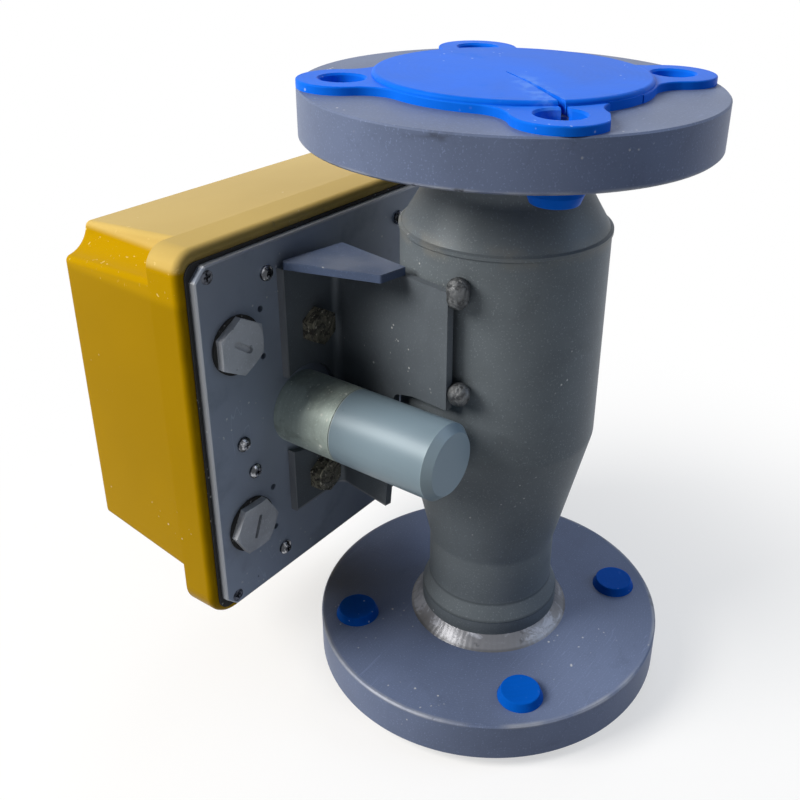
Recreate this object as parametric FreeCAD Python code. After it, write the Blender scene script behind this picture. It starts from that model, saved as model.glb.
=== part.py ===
import FreeCAD, Part
import math
import os

# Variable-area flow meter with a magnetically coupled indicator.
# Millimetres. The origin is on the tube axis, where the lower protector stands. +Z is up,
# the dial faces -Y, and the indicator sits on the -Y side of the tube, shifted towards +X.

V = FreeCAD.Vector
UP = V(0, 0, 1)
BACK = V(0, 1, 0)

# Flanges and pipe
FLANGE_D = 152.4
FLANGE_T = 17.5
FLANGE_CHAMFER = 0.6
RAISED_FACE_D = 92.1
RAISED_FACE_T = 1.6
BOLT_CIRCLE_D = 120.65
BOLT_HOLE_D = 19.05
BOLT_COUNT = 4
FIRST_BOLT_ANGLE = 45.0
PIPE_D = 60.3
PIPE_WALL = 3.9
PIPE_ROOM = 0.6
PIPE_SETBACK = 7.1
FLANGE_WELD = 5.2
WELD_HOLLOW_R = 24.0
BORE_WELD = 3.2

# Metering body
BODY_D = 80.4
BODY_WALL = 3.0
NECK_D = 54.4
COLLAR_LENGTH = 23.9
FLARE_LENGTH = 7.3
NECK_LENGTH = 21.3
CONE_LENGTH = 55.5
SHOULDER_RISE = 73.7
REDUCER_LENGTH = 16.8
UPPER_PIPE_LENGTH = 17.3
BEAD_WIDTH = 2.4
BEAD_HEIGHT = 0.5

# Float and its guides
FLOAT_TRAVEL = 40.0
STOP_GAP = 0.3
ROD_D = 8.0
ROD_CLEARANCE = 0.08
SEAT_CLEARANCE = 0.05
GUIDE_HUB_D = 18.0
GUIDE_HUB_H = 8.0
GUIDE_RING_H = 4.0
GUIDE_RING_WALL = 3.0
GUIDE_ARM_W = 4.0
LOWER_GUIDE_LIFT = 11.3
UPPER_GUIDE_DROP = 11.2
ROD_TAIL = 41.0
ROD_TIP = 9.0
FLOAT_SHOULDER_D = 13.0
FLOAT_HEAD_D = 46.0
FLOAT_HEAD_H = 4.0
FLOAT_NOSE_H = 5.5
FLOAT_BACK_H = 6.0
FLOAT_STEM_D = 14.0
FLOAT_MAGNET_D = 24.0
FLOAT_MAGNET_H = 14.0
MAGNET_CASE_WALL = 4.0
MAGNET_CASE_FLOOR = 3.5
MAGNET_LID_H = 2.5
STOP_COLLAR_D = 15.0
STOP_COLLAR_H = 6.0

# Indicator: place, base plate and gasket
INDICATOR_HEIGHT = 127.1
PLATE_STANDOFF = 58.1
PLATE_SIDE_MARGIN = 4.45
PLATE_END_MARGIN = 5.65
PLATE_T = 3.0
PLATE_CORNER = 5.0
PLATE_BACK_SHIFT = 25.5
GASKET_LAP = 1.25
GASKET_T = 0.8
GASKET_W = 5.0
SMALL_HOLE_D = 2.6
SMALL_HOLE_IN = 13.1
SMALL_HOLE_ZS = (29.2, 48.4)

# Hood
RIM_WIDTH = 153.4
RIM_HEIGHT = 155.8
RIM_DEPTH = 14.7
RIM_CORNER_R = 8.5
LOWER_RIM_CORNER_R = 12.0
RIM_EDGE_R = 3.0
RIM_LAND = 5.0
RIM_LEDGE = 0.4
HOOD_DEPTH = 64.8
HOOD_WALL = 3.0
HOOD_FRONT_WALL = 3.6
HOOD_SIDE_DRAFT = 2.4
HOOD_TOP_DRAFT = 4.6
UPPER_CHANNEL_R = 12.0
LOWER_CHANNEL_R = 20.3
CHANNEL_TAPER = 1.5
HOOD_EDGE_R = 2.5
FRONT_EDGE_R = 1.8
WINDOW_SIDE = 23.9
WINDOW_END = 18.9
WINDOW_CORNER_R = 20.0
CORNER_SCREW_SIDE = 10.0
CORNER_SCREW_END = 9.7
CORNER_SCREW_D = 3.2
CORNER_SCREW_HEAD_D = 5.2
CORNER_SCREW_LENGTH = 12.0
SCREW_BOSS_WALL = 2.4

# Window
WINDOW_SEAL_T = 1.5
WINDOW_SEAL_LAP = 4.0
GLASS_T = 4.0
GLASS_LAP = 5.0
FRAME_T = 1.5
FRAME_LAP_X = 14.0
FRAME_LAP_Z = 11.0
FRAME_SCREW_OUT = 10.0
FRAME_SCREW_PITCH = 30.0
FRAME_CORNER_ROOM = 1.0
FRAME_SCREW_D = 2.5
FRAME_HEAD_D = 4.5
FRAME_HEAD_H = 1.4
FRAME_SCREW_REACH = 4.5
FRAME_BOSS_D = 7.0

# Dial, pillars and pointer
DIAL_SIDE_GAP = 14.9
DIAL_END_GAP = 3.9
DIAL_T = 1.2
DIAL_CORNER_R = 22.0
DIAL_HOLE_WALL = 1.0
DIAL_DEPTH = 52.8
PILLAR_PAST = 5.4
PILLAR_END = 4.8
PILLAR_D = 6.0
PILLAR_SCREW_D = 3.0
PILLAR_SCREW_REACH = 7.0
PAN_HEAD_D = 6.0
PAN_HEAD_H = 2.2
POINTER_T = 0.8
POINTER_LENGTH = 62.0
POINTER_TAIL = 18.0
POINTER_W = 4.0
POINTER_HUB_D = 9.0
POINTER_HUB_H = 3.0
POINTER_SWING = 90.0

# Spindle, bearings and follower magnet
SPINDLE_D = 4.0
SPINDLE_CLEARANCE = 0.05
BRIDGE_T = 1.5
BRIDGE_REACH = 38.5
BRIDGE_W = 20.0
BRIDGE_BASE = 40.0
BEARING_D = 8.0
BEARING_L = 5.0
REAR_BEARING_E = 18.0
HOLDER_D = 12.0
HOLDER_L = 6.0
FOLLOWER_L = 22.0
FOLLOWER_W = 7.0
FOLLOWER_E = 57.5

# Sleeve and cap beside the tube
SLEEVE_D = 30.2
SLEEVE_BORE_D = 22.0
SLEEVE_LENGTH = 27.3
SPIGOT_D = 26.0
INNER_SPIGOT = 9.5
OUTER_SPIGOT = 8.0
SLEEVE_NUT_D = 36.0
SLEEVE_NUT_T = 4.5
CAP_GAP = 0.75
CAP_D = 30.1
CAP_END_E = 73.3
CAP_WALL = 2.5
CAP_END_WALL = 3.3
CAP_CHAMFER_R = 2.8
CAP_CHAMFER_L = 3.1
SEAL_D = 2.2
SEAL_GROOVE = 1.1

# Cable entries, closed by hexagonal plugs
PLUG_SIDE = 20.2
PLUG_Z = 39.0
PLUG_AF = 19.7
PLUG_HEAD_T = 3.0
PLUG_SHANK_D = 16.0
PLUG_SHANK_L = 11.0
PLUG_GASKET_D = 22.6
PLUG_GASKET_T = 1.0
PLUG_NUT_AF = 22.0
PLUG_NUT_T = 5.0
SLOT_LENGTH = 10.0
UPPER_SLOT_WIDTH = 2.6
LOWER_SLOT_WIDTH = 1.6
SLOT_DEPTH = 1.4
UPPER_PLUG_TURN = 90
UPPER_SLOT_TURN = -36
LOWER_PLUG_TURN = 0
LOWER_SLOT_TURN = 69

# Terminal block behind the dial
TERMINAL_SIDE = 21.9
TERMINAL_Z = -9.5
TERMINAL_W = 13.0
TERMINAL_H = 26.0
TERMINAL_DEPTH = 12.0
TERMINAL_SCREW_DX = 2.3
TERMINAL_SCREW_DZ = 7.1
TERMINAL_WAYS = 4

# Bracket
SHEET = 3.0
WEB_GAP = 1.1
WEB_ANGLE = 9.5
WEB_END = 61.2
BEND_R = 3.0
LEG_PAST = 8.5
BRACKET_BELOW = 45.2
BRACKET_ABOVE = 61.3
NARROW_WIDTH_LOW = 27.5
NARROW_WIDTH_TOP = 33.5
WIDE_FROM = 10.5
WIDE_RISE = 4.0
NOTCH_R = 18.7
CAP_CLEARANCE = 0.6
BOLT_X = -7.2
BOLT_Z = 34.0
BOLT_D = 8.0
BOLT_AF = 13.0
BOLT_HEAD = 5.3
WASHER_D = 16.0
WASHER_T = 1.6
NUT_T = 6.5
GUSSET_T = 3.2
GUSSET_START = 3.8
GUSSET_LENGTH = 35.0
GUSSET_LAP = 1.0
GUSSET_BASE = 28.4
GUSSET_TIP = 11.0
WELD_R = 4.2
UPPER_WELD_FROM = 54.5
UPPER_WELD_TO = 66.5
LOWER_WELD_FROM = 16.5
LOWER_WELD_TO = 25.5

# Flange protectors
COVER_WALL = 3.0
COVER_D = 101.0
COVER_EDGE_R = 1.5
COVER_SKIRT_ROOM = 0.15
EAR_R = 15.9
LOWER_EAR_R = 12.5
EAR_T = 3.0
EAR_FLARE_R = 14.0
EAR_EDGE_R = 0.6
PEG_TOP_D = 18.9
PEG_END_D = 16.2
PEG_CONE = 3.4
PEG_WALL = 1.5
UPPER_PEG_PAST = 7.0
LOWER_PEG_PAST = 3.4
PEG_END_R = 0.5
PEG_HOLLOW_R = 1.5
PEG_MOUTH_D = 17.4
TEAR_START = 2.0
TEAR_START_GAP = 0.6
TEAR_END_GAP = 3.0
TEAR_START_SIDE = -3.0
TEAR_END_SIDE = 3.6
TEAR_SLIT = 0.9
TEAR_SQUARE_IN = 16.6
TEAR_SQUARE_OUT = 10.8
TEAR_FLARE_OUT = 35.0

# Heights that follow
UPPER_LENGTH = SHOULDER_RISE + REDUCER_LENGTH + UPPER_PIPE_LENGTH + FLANGE_T + RAISED_FACE_T
FACE_TO_FACE = INDICATOR_HEIGHT + UPPER_LENGTH
FACE_Z = COVER_WALL
TOP_FACE_Z = FACE_Z + FACE_TO_FACE
RIM_Z = FACE_Z + RAISED_FACE_T
TOP_RIM_Z = TOP_FACE_Z - RAISED_FACE_T
LOW_FLANGE_TOP = RIM_Z + FLANGE_T
HIGH_FLANGE_FOOT = TOP_RIM_Z - FLANGE_T
COLLAR_Z = FACE_Z + PIPE_SETBACK + COLLAR_LENGTH
NECK_Z = COLLAR_Z + FLARE_LENGTH
CONE_Z = NECK_Z + NECK_LENGTH
CYLINDER_Z = CONE_Z + CONE_LENGTH
INDICATOR_Z = FACE_Z + INDICATOR_HEIGHT
SHOULDER_Z = INDICATOR_Z + SHOULDER_RISE
UPPER_PIPE_Z = SHOULDER_Z + REDUCER_LENGTH
LOWER_HUB_Z = NECK_Z + LOWER_GUIDE_LIFT
UPPER_HUB_Z = SHOULDER_Z - UPPER_GUIDE_DROP
REST_MAGNET_Z = INDICATOR_Z - FLOAT_TRAVEL / 2

# Radii that follow
PIPE_R = PIPE_D / 2
PIPE_BORE_R = PIPE_R - PIPE_WALL
FLANGE_BORE_R = PIPE_R + PIPE_ROOM
BODY_R = BODY_D / 2
NECK_R = NECK_D / 2
SPIGOT_R = SPIGOT_D / 2
CAP_R = CAP_D / 2

# Places along X, from the tube's side
SLEEVE_X = BODY_R + CAP_GAP + CAP_R
LEG_END_X = SLEEVE_X + LEG_PAST
PLATE_SHIFT = SLEEVE_X - PLATE_BACK_SHIFT

# Window opening and its screws, from the front of the hood
WINDOW_W = RIM_WIDTH - 2 * (RIM_LEDGE + HOOD_SIDE_DRAFT + WINDOW_SIDE)
WINDOW_H = RIM_HEIGHT - 2 * (RIM_LEDGE + HOOD_TOP_DRAFT + WINDOW_END)
FRAME_SCREW_X = WINDOW_W / 2 + FRAME_SCREW_OUT

# Plate and what it carries, from the hood's rim
PLATE_W = RIM_WIDTH - 2 * PLATE_SIDE_MARGIN
PLATE_H = RIM_HEIGHT - 2 * PLATE_END_MARGIN
CORNER_SCREW_X = RIM_WIDTH / 2 - CORNER_SCREW_SIDE
CORNER_SCREW_Z = RIM_HEIGHT / 2 - CORNER_SCREW_END
PLUG_X = RIM_WIDTH / 2 - PLUG_SIDE
TERMINAL_X = RIM_WIDTH / 2 - TERMINAL_SIDE
SMALL_HOLE_X = PLUG_X - SMALL_HOLE_IN

# Dial inside the hood, and its pillars past the end of the bracket's leg
DIAL_W = RIM_WIDTH - 2 * (RIM_LEDGE + HOOD_SIDE_DRAFT + HOOD_WALL + DIAL_SIDE_GAP)
DIAL_H = RIM_HEIGHT - 2 * (RIM_LEDGE + HOOD_TOP_DRAFT + HOOD_WALL + DIAL_END_GAP)
PILLAR_X = LEG_END_X - PLATE_SHIFT + PILLAR_PAST
PILLAR_Z = DIAL_H / 2 - PILLAR_END

# Planes of the indicator, as distances from the plate's outer face towards the tube
PLATE_INNER = -PLATE_T
HOOD_FACE = PLATE_INNER - GASKET_T
LEDGE_E = HOOD_FACE - RIM_DEPTH
FRONT_E = HOOD_FACE - HOOD_DEPTH
FRONT_INNER = FRONT_E + HOOD_FRONT_WALL
GLASS_FRONT = FRONT_INNER + WINDOW_SEAL_T
GLASS_BACK = GLASS_FRONT + GLASS_T
FRAME_BACK = GLASS_BACK + FRAME_T
DIAL_BACK = -DIAL_DEPTH
DIAL_FRONT = DIAL_BACK - DIAL_T
POINTER_BACK = FRAME_BACK + 1.0
SPINDLE_FRONT = GLASS_BACK + 0.6


def at(x, e, z):
    """Point of the indicator: x along X, e from the plate's outer face, z up."""
    return V(x, e - PLATE_STANDOFF, z)


def on_plate(dx, e, dz):
    """Point given from the centre of the base plate."""
    return at(PLATE_SHIFT + dx, e, INDICATOR_Z + dz)


def corner_arc(before, corner, after, radius):
    """Start, middle and end of the arc that rounds one corner."""
    first = (before - corner).normalize()
    second = (after - corner).normalize()
    half = first.getAngle(second) / 2
    reach = radius / math.tan(half)
    middle = (first + second).normalize()
    centre = corner + middle * (radius / math.sin(half))
    return corner + first * reach, centre - middle * radius, corner + second * reach


def outline(points):
    """Closed wire through corners; a corner is a vector or (vector, radius)."""
    corners = [p if isinstance(p, tuple) else (p, 0.0) for p in points]
    pieces = []
    for index, (corner, radius) in enumerate(corners):
        if radius:
            before = corners[index - 1][0]
            after = corners[(index + 1) % len(corners)][0]
            pieces.append(corner_arc(before, corner, after, radius))
        else:
            pieces.append((corner,))
    edges = []
    for index, piece in enumerate(pieces):
        if len(piece) == 3:
            edges.append(Part.Arc(*piece).toShape())
        start = piece[-1]
        end = pieces[(index + 1) % len(pieces)][0]
        if start.distanceToPoint(end) > 1e-6:
            edges.append(Part.LineSegment(start, end).toShape())
    return Part.Wire(edges)


def plate(points, thickness):
    """Flat piece: a closed outline pushed along a vector."""
    return Part.Face(outline(points)).extrude(thickness)


def turned(profile):
    """Solid of revolution about Z; the profile is a list of (r, z) or (r, z, radius)."""
    points = []
    for corner in profile:
        point = V(corner[0], 0, corner[1])
        points.append((point, corner[2]) if len(corner) == 3 else point)
    return Part.Face(outline(points)).revolve(V(0, 0, 0), UP, 360)


def turned_at(profile, base, axis):
    """The same, with its own Z laid along an axis from a base point."""
    shape = turned(profile)
    shape.Placement = FreeCAD.Placement(base, FreeCAD.Rotation(UP, axis))
    return shape


def rod(radius, start, end):
    """Plain cylinder between two points."""
    along = end - start
    return Part.makeCylinder(radius, along.Length, start, along)


def ring(outer, inner, start, end):
    """Plain ring between two points."""
    return rod(outer, start, end).cut(rod(inner, start, end))


def hexagon(across_flats, start, end, turn):
    """Hexagonal prism; turn is the angle of its first corner about the axis."""
    along = end - start
    radius = across_flats / math.sqrt(3)
    points = []
    for index in range(6):
        angle = math.radians(turn + 60 * index)
        points.append(V(radius * math.cos(angle), radius * math.sin(angle), 0))
    prism = plate(points, V(0, 0, along.Length))
    prism.Placement = FreeCAD.Placement(start, FreeCAD.Rotation(UP, along))
    return prism


def rounded_box(width, height, corner_r, centre, depth, lower_r=None):
    """Rounded rectangle in an XZ plane, pushed along Y by depth."""
    corners = []
    for sx, sz in ((-1, -1), (1, -1), (1, 1), (-1, 1)):
        corner = centre + V(sx * width / 2, 0, sz * height / 2)
        radius = lower_r if lower_r and sz < 0 else corner_r
        corners.append((corner, radius))
    return plate(corners, V(0, depth, 0))


def bolt_places(radius, z):
    """Centres of the bolt holes."""
    places = []
    for index in range(BOLT_COUNT):
        angle = math.radians(FIRST_BOLT_ANGLE + 360 / BOLT_COUNT * index)
        places.append(V(radius * math.cos(angle), radius * math.sin(angle), z))
    return places


def pan_screw(head_d, head_h, shank_d, reach, seat, towards):
    """Pan head with a cross recess; seat is under the head, towards points into the work."""
    head_r = head_d / 2
    profile = [(0, head_h), (head_r * 0.55, head_h), (head_r, head_h * 0.45, 0.6), (head_r, 0), (0, 0)]
    screw = turned(profile).fuse(Part.makeCylinder(shank_d / 2, reach, V(0, 0, -reach)))
    wide = head_r * 0.9
    narrow = head_r * 0.22
    deep = head_h * 0.45
    for length, width in ((wide, narrow), (narrow, wide)):
        corner = V(-length / 2, -width / 2, head_h - deep)
        screw = screw.cut(Part.makeBox(length, width, head_h, corner))
    screw.Placement = FreeCAD.Placement(seat, FreeCAD.Rotation(UP, towards * -1))
    return screw


def save(name, *shapes):
    """Writes one sub-part; several solids of one kind go into one file."""
    solids = []
    for shape in shapes:
        solids.extend(shape.Solids)
    whole = solids[0] if len(solids) == 1 else Part.makeCompound(solids)
    for solid in solids:
        if not solid.isValid() or solid.Volume <= 0:
            print("check", name, solid.isValid(), solid.Volume)
    whole.exportStep(os.path.join("parts", name + ".step"))
    print(f"{name}: {len(solids)} solids, {whole.Volume:.0f} mm3")


def body_profile():
    """Wall section of the metering body: flare, neck, cone and cylinder."""
    outer = [(PIPE_R, COLLAR_Z), (NECK_R, NECK_Z, 6), (NECK_R, CONE_Z, 10),
             (BODY_R, CYLINDER_Z, 10), (BODY_R, SHOULDER_Z)]
    inner = [(BODY_R - BODY_WALL, SHOULDER_Z), (BODY_R - BODY_WALL, CYLINDER_Z, 10),
             (NECK_R - BODY_WALL, CONE_Z, 10), (NECK_R - BODY_WALL, NECK_Z, 4),
             (PIPE_BORE_R, COLLAR_Z)]
    return outer + inner


def lower_collar():
    """Short pipe from the lower flange up to the neck."""
    start = V(0, 0, FACE_Z + PIPE_SETBACK)
    return ring(PIPE_R, PIPE_BORE_R, start, V(0, 0, COLLAR_Z))


def upper_reducer():
    """Cone from the wide body to the pipe of the upper flange."""
    pipe_end = TOP_FACE_Z - PIPE_SETBACK
    return turned([
        (BODY_R, SHOULDER_Z), (PIPE_R, UPPER_PIPE_Z, 8), (PIPE_R, pipe_end),
        (PIPE_BORE_R, pipe_end), (PIPE_BORE_R, UPPER_PIPE_Z, 8), (BODY_R - BODY_WALL, SHOULDER_Z)])


def flange(face_z, inward):
    """Slip-on flange; inward is +1 when its back is above the raised face."""
    rim_z = face_z + inward * RAISED_FACE_T
    back_z = rim_z + inward * FLANGE_T
    disc_r = FLANGE_D / 2
    profile = [
        (FLANGE_BORE_R, face_z), (RAISED_FACE_D / 2, face_z), (RAISED_FACE_D / 2, rim_z),
        (disc_r - FLANGE_CHAMFER, rim_z), (disc_r, rim_z + inward * FLANGE_CHAMFER),
        (disc_r, back_z - inward * FLANGE_CHAMFER), (disc_r - FLANGE_CHAMFER, back_z),
        (FLANGE_BORE_R, back_z)]
    shape = turned(profile)
    for place in bolt_places(BOLT_CIRCLE_D / 2, min(face_z, back_z) - 1):
        shape = shape.cut(Part.makeCylinder(BOLT_HOLE_D / 2, FLANGE_T + 4, place))
    return shape


def flange_welds(face_z, inward):
    """Fillet at the back of the flange, and the small one inside its bore."""
    back_z = face_z + inward * (RAISED_FACE_T + FLANGE_T)
    hollow = FLANGE_WELD * 0.42
    outside = turned([
        (PIPE_R, back_z), (PIPE_R + FLANGE_WELD, back_z),
        (PIPE_R + hollow, back_z + inward * hollow, WELD_HOLLOW_R), (PIPE_R, back_z + inward * FLANGE_WELD)])
    end_z = face_z + inward * PIPE_SETBACK
    inside = turned([
        (FLANGE_BORE_R, end_z), (PIPE_R - BORE_WELD, end_z), (FLANGE_BORE_R, end_z - inward * BORE_WELD)])
    return outside, inside


def shoulder_weld(neighbours):
    """Bead round the edge between the cylinder and the reducer."""
    half = BEAD_WIDTH / 2
    bead = turned([
        (BODY_R - 0.6, SHOULDER_Z - half), (BODY_R, SHOULDER_Z - half),
        (BODY_R + BEAD_HEIGHT, SHOULDER_Z - half / 2), (BODY_R + BEAD_HEIGHT, SHOULDER_Z + half / 2),
        (BODY_R - 0.6, SHOULDER_Z + half)])
    return bead.cut(neighbours)


def guide(inner_r, hub_z):
    """Spider that carries the float's rod: ring, three arms and a bored hub."""
    ring_z = hub_z + (GUIDE_HUB_H - GUIDE_RING_H) / 2
    outer = inner_r - SEAT_CLEARANCE
    shape = ring(outer, outer - GUIDE_RING_WALL, V(0, 0, ring_z), V(0, 0, ring_z + GUIDE_RING_H))
    shape = shape.fuse(rod(GUIDE_HUB_D / 2, V(0, 0, hub_z), V(0, 0, hub_z + GUIDE_HUB_H)))
    for index in range(3):
        arm = Part.makeBox(outer - 1, GUIDE_ARM_W, GUIDE_RING_H, V(0, -GUIDE_ARM_W / 2, ring_z))
        arm.rotate(V(0, 0, 0), UP, 90 + 120 * index)
        shape = shape.fuse(arm)
    bore = rod(ROD_D / 2 + ROD_CLEARANCE, V(0, 0, hub_z - 1), V(0, 0, hub_z + GUIDE_HUB_H + 1))
    return shape.cut(bore).removeSplitter()


def float_lower():
    """Lower rod, metering head, stem and the open case of the magnet."""
    rod_r = ROD_D / 2
    seat = LOWER_HUB_Z + GUIDE_HUB_H + STOP_GAP
    head_low = seat + FLOAT_NOSE_H
    head_top = head_low + FLOAT_HEAD_H
    magnet_low = REST_MAGNET_Z - FLOAT_MAGNET_H / 2
    magnet_top = REST_MAGNET_Z + FLOAT_MAGNET_H / 2
    case_low = magnet_low - MAGNET_CASE_FLOOR
    case_r = FLOAT_MAGNET_D / 2 + MAGNET_CASE_WALL
    pocket_r = FLOAT_MAGNET_D / 2 + SEAT_CLEARANCE
    stem_r = FLOAT_STEM_D / 2
    return turned([
        (0, LOWER_HUB_Z - ROD_TAIL), (rod_r - 1, LOWER_HUB_Z - ROD_TAIL),
        (rod_r, LOWER_HUB_Z - ROD_TAIL + 1), (rod_r, seat), (FLOAT_SHOULDER_D / 2, seat),
        (FLOAT_HEAD_D / 2, head_low, 0.6), (FLOAT_HEAD_D / 2, head_top, 0.6),
        (stem_r, head_top + FLOAT_BACK_H, 4), (stem_r, case_low, 1.5), (case_r, case_low, 1.5),
        (case_r, magnet_top + 1), (pocket_r, magnet_top + 1), (pocket_r, magnet_low), (0, magnet_low)])


def float_upper():
    """Lid of the magnet case with the upper rod and the stop collar."""
    magnet_top = REST_MAGNET_Z + FLOAT_MAGNET_H / 2
    case_top = magnet_top + 1
    case_r = FLOAT_MAGNET_D / 2 + MAGNET_CASE_WALL
    rod_r = ROD_D / 2
    stop = UPPER_HUB_Z - FLOAT_TRAVEL - STOP_GAP
    stop_r = STOP_COLLAR_D / 2
    tip = UPPER_HUB_Z + ROD_TIP
    return turned([
        (0, magnet_top), (FLOAT_MAGNET_D / 2, magnet_top), (FLOAT_MAGNET_D / 2, case_top),
        (case_r, case_top), (case_r, case_top + MAGNET_LID_H, 1.2), (rod_r, case_top + MAGNET_LID_H),
        (rod_r, stop - STOP_COLLAR_H), (stop_r, stop - STOP_COLLAR_H), (stop_r, stop),
        (rod_r, stop), (rod_r, tip - 1), (rod_r - 1, tip), (0, tip)])


def float_magnet():
    """Cylinder magnet inside its case."""
    half = FLOAT_MAGNET_H / 2
    return rod(FLOAT_MAGNET_D / 2, V(0, 0, REST_MAGNET_Z - half), V(0, 0, REST_MAGNET_Z + half))


def sleeve_axis(e):
    """Point on the axis that the sleeve, cap, spindle and pointer share."""
    return at(SLEEVE_X, e, INDICATOR_Z)


def web_frame():
    """Inner corner of the bracket, the way along its web, and the way out to the web's near face."""
    angle = math.radians(WEB_ANGLE)
    along = V(math.sin(angle), math.cos(angle), 0)
    out = V(math.cos(angle), -math.sin(angle), 0)
    near = BODY_R + WEB_GAP + SHEET
    y = SHEET - PLATE_STANDOFF
    x = (near + y * math.sin(angle)) / math.cos(angle)
    return V(x, y, 0), along, out


def bracket_blank():
    """The folded sheet at its full height."""
    corner, along, out = web_frame()
    foot = INDICATOR_Z - BRACKET_BELOW
    height = BRACKET_BELOW + BRACKET_ABOVE
    back = corner - out * SHEET
    back_corner = back - along * ((back.y + PLATE_STANDOFF) / along.y)
    leg_end = V(LEG_END_X, -PLATE_STANDOFF, 0)
    points = [
        leg_end, (back_corner, BEND_R + SHEET), back + along * WEB_END, corner + along * WEB_END,
        (corner, BEND_R), leg_end + V(0, SHEET, 0)]
    blank = plate(points, V(0, 0, height))
    blank.translate(V(0, 0, foot))
    return blank


def mounting_bracket():
    """Folded bracket: notched leg on the plate, web past the tube, narrow below and wide above."""
    corner, along, out = web_frame()
    foot = INDICATOR_Z - BRACKET_BELOW - 1
    step = INDICATOR_Z + WIDE_FROM
    base = corner - out * (SHEET + 1)
    cut_out = [
        base + along * NARROW_WIDTH_LOW + V(0, 0, foot),
        (base + along * NARROW_WIDTH_TOP + V(0, 0, step), 3.0),
        (base + along * (NARROW_WIDTH_TOP + 10) + V(0, 0, step + WIDE_RISE * 0.7), 20.0),
        base + along * (WEB_END + 1) + V(0, 0, step + WIDE_RISE),
        base + along * (WEB_END + 1) + V(0, 0, foot)]
    shape = bracket_blank().cut(plate(cut_out, out * (SHEET + 2)))
    notch = rod(NOTCH_R, sleeve_axis(-1), sleeve_axis(SHEET + 1))
    passage = rod(CAP_R + CAP_CLEARANCE, sleeve_axis(SHEET + 1), sleeve_axis(CAP_END_E + 5))
    shape = shape.cut(notch).cut(passage)
    for side in (-1, 1):
        shape = shape.cut(rod(BOLT_D / 2 + 0.25, bolt_axis(side, -1), bolt_axis(side, SHEET + 1)))
    return shape


def bolt_axis(side, e):
    """Point on the axis of the upper or lower bracket bolt."""
    return at(SLEEVE_X + BOLT_X, e, INDICATOR_Z + side * BOLT_Z)


def bracket_gusset():
    """Triangle with a cut tip on top of the bracket, square to its web."""
    corner, along, out = web_frame()
    top = V(0, 0, INDICATOR_Z + BRACKET_ABOVE)
    base = corner + along * GUSSET_START + top
    far = base + along * GUSSET_LENGTH
    points = [
        base - out * GUSSET_LAP, far - out * GUSSET_LAP, (far + out * GUSSET_TIP, 1.0),
        (base + out * GUSSET_BASE, 1.0)]
    return plate(points, V(0, 0, GUSSET_T))


def bracket_weld(low, high, reach, neighbours):
    """Weld blob between the end of the web and the tube."""
    corner, along, out = web_frame()
    place = corner + along * reach - out * (SHEET + 0.7)
    start = place + V(0, 0, INDICATOR_Z + low + WELD_R)
    end = place + V(0, 0, INDICATOR_Z + high - WELD_R)
    blob = Part.makeSphere(WELD_R, start).fuse(Part.makeSphere(WELD_R, end))
    if high - low > 2 * WELD_R + 0.1:
        blob = blob.fuse(rod(WELD_R, start, end))
    core = rod(BODY_R, V(0, 0, CYLINDER_Z), V(0, 0, SHOULDER_Z))
    blob = blob.removeSplitter().cut(core).cut(neighbours)
    return max(blob.Solids, key=lambda solid: solid.Volume)


def bracket_bolt(side):
    """Hexagon bolt through bracket and plate."""
    head = hexagon(BOLT_AF, bolt_axis(side, SHEET), bolt_axis(side, SHEET + BOLT_HEAD), 30)
    crown = turned_at([
        (0, 0), (BOLT_AF, 0), (BOLT_AF, BOLT_HEAD - 1.6), (BOLT_AF * 0.47, BOLT_HEAD), (0, BOLT_HEAD)],
        bolt_axis(side, SHEET), BACK)
    tip = PLATE_INNER - WASHER_T - NUT_T - 2
    shank = rod(BOLT_D / 2, bolt_axis(side, tip), bolt_axis(side, SHEET + 1))
    return head.common(crown).fuse(shank).removeSplitter()


def bracket_nut(side):
    """Washer and nut inside the housing."""
    bore = BOLT_D / 2 + SEAT_CLEARANCE
    washer_e = PLATE_INNER - WASHER_T
    washer = ring(WASHER_D / 2, bore, bolt_axis(side, washer_e), bolt_axis(side, PLATE_INNER))
    nut = hexagon(BOLT_AF, bolt_axis(side, washer_e - NUT_T), bolt_axis(side, washer_e), 30)
    nut = nut.cut(rod(bore, bolt_axis(side, washer_e - NUT_T - 1), bolt_axis(side, washer_e + 1)))
    return nut, washer


def corner_places(e):
    """The four corner screws of the hood."""
    return [on_plate(sx * CORNER_SCREW_X, e, sz * CORNER_SCREW_Z) for sx in (-1, 1) for sz in (-1, 1)]


def pillar_places(e):
    """The four pillars of the dial."""
    return [on_plate(sx * PILLAR_X, e, sz * PILLAR_Z) for sx in (-1, 1) for sz in (-1, 1)]


def plug_places(e):
    """The upper and the lower cable entry."""
    return [on_plate(PLUG_X, e, side * PLUG_Z) for side in (1, -1)]


def terminal_screw_places(e):
    """Two screws on the diagonal of the terminal block."""
    return [on_plate(TERMINAL_X + side * TERMINAL_SCREW_DX, e, TERMINAL_Z + side * TERMINAL_SCREW_DZ)
            for side in (1, -1)]


def through(shape, places, radius):
    """Cuts round holes along Y through a flat piece."""
    for place in places:
        shape = shape.cut(rod(radius, place + V(0, -PLATE_H, 0), place + V(0, PLATE_H, 0)))
    return shape


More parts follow.
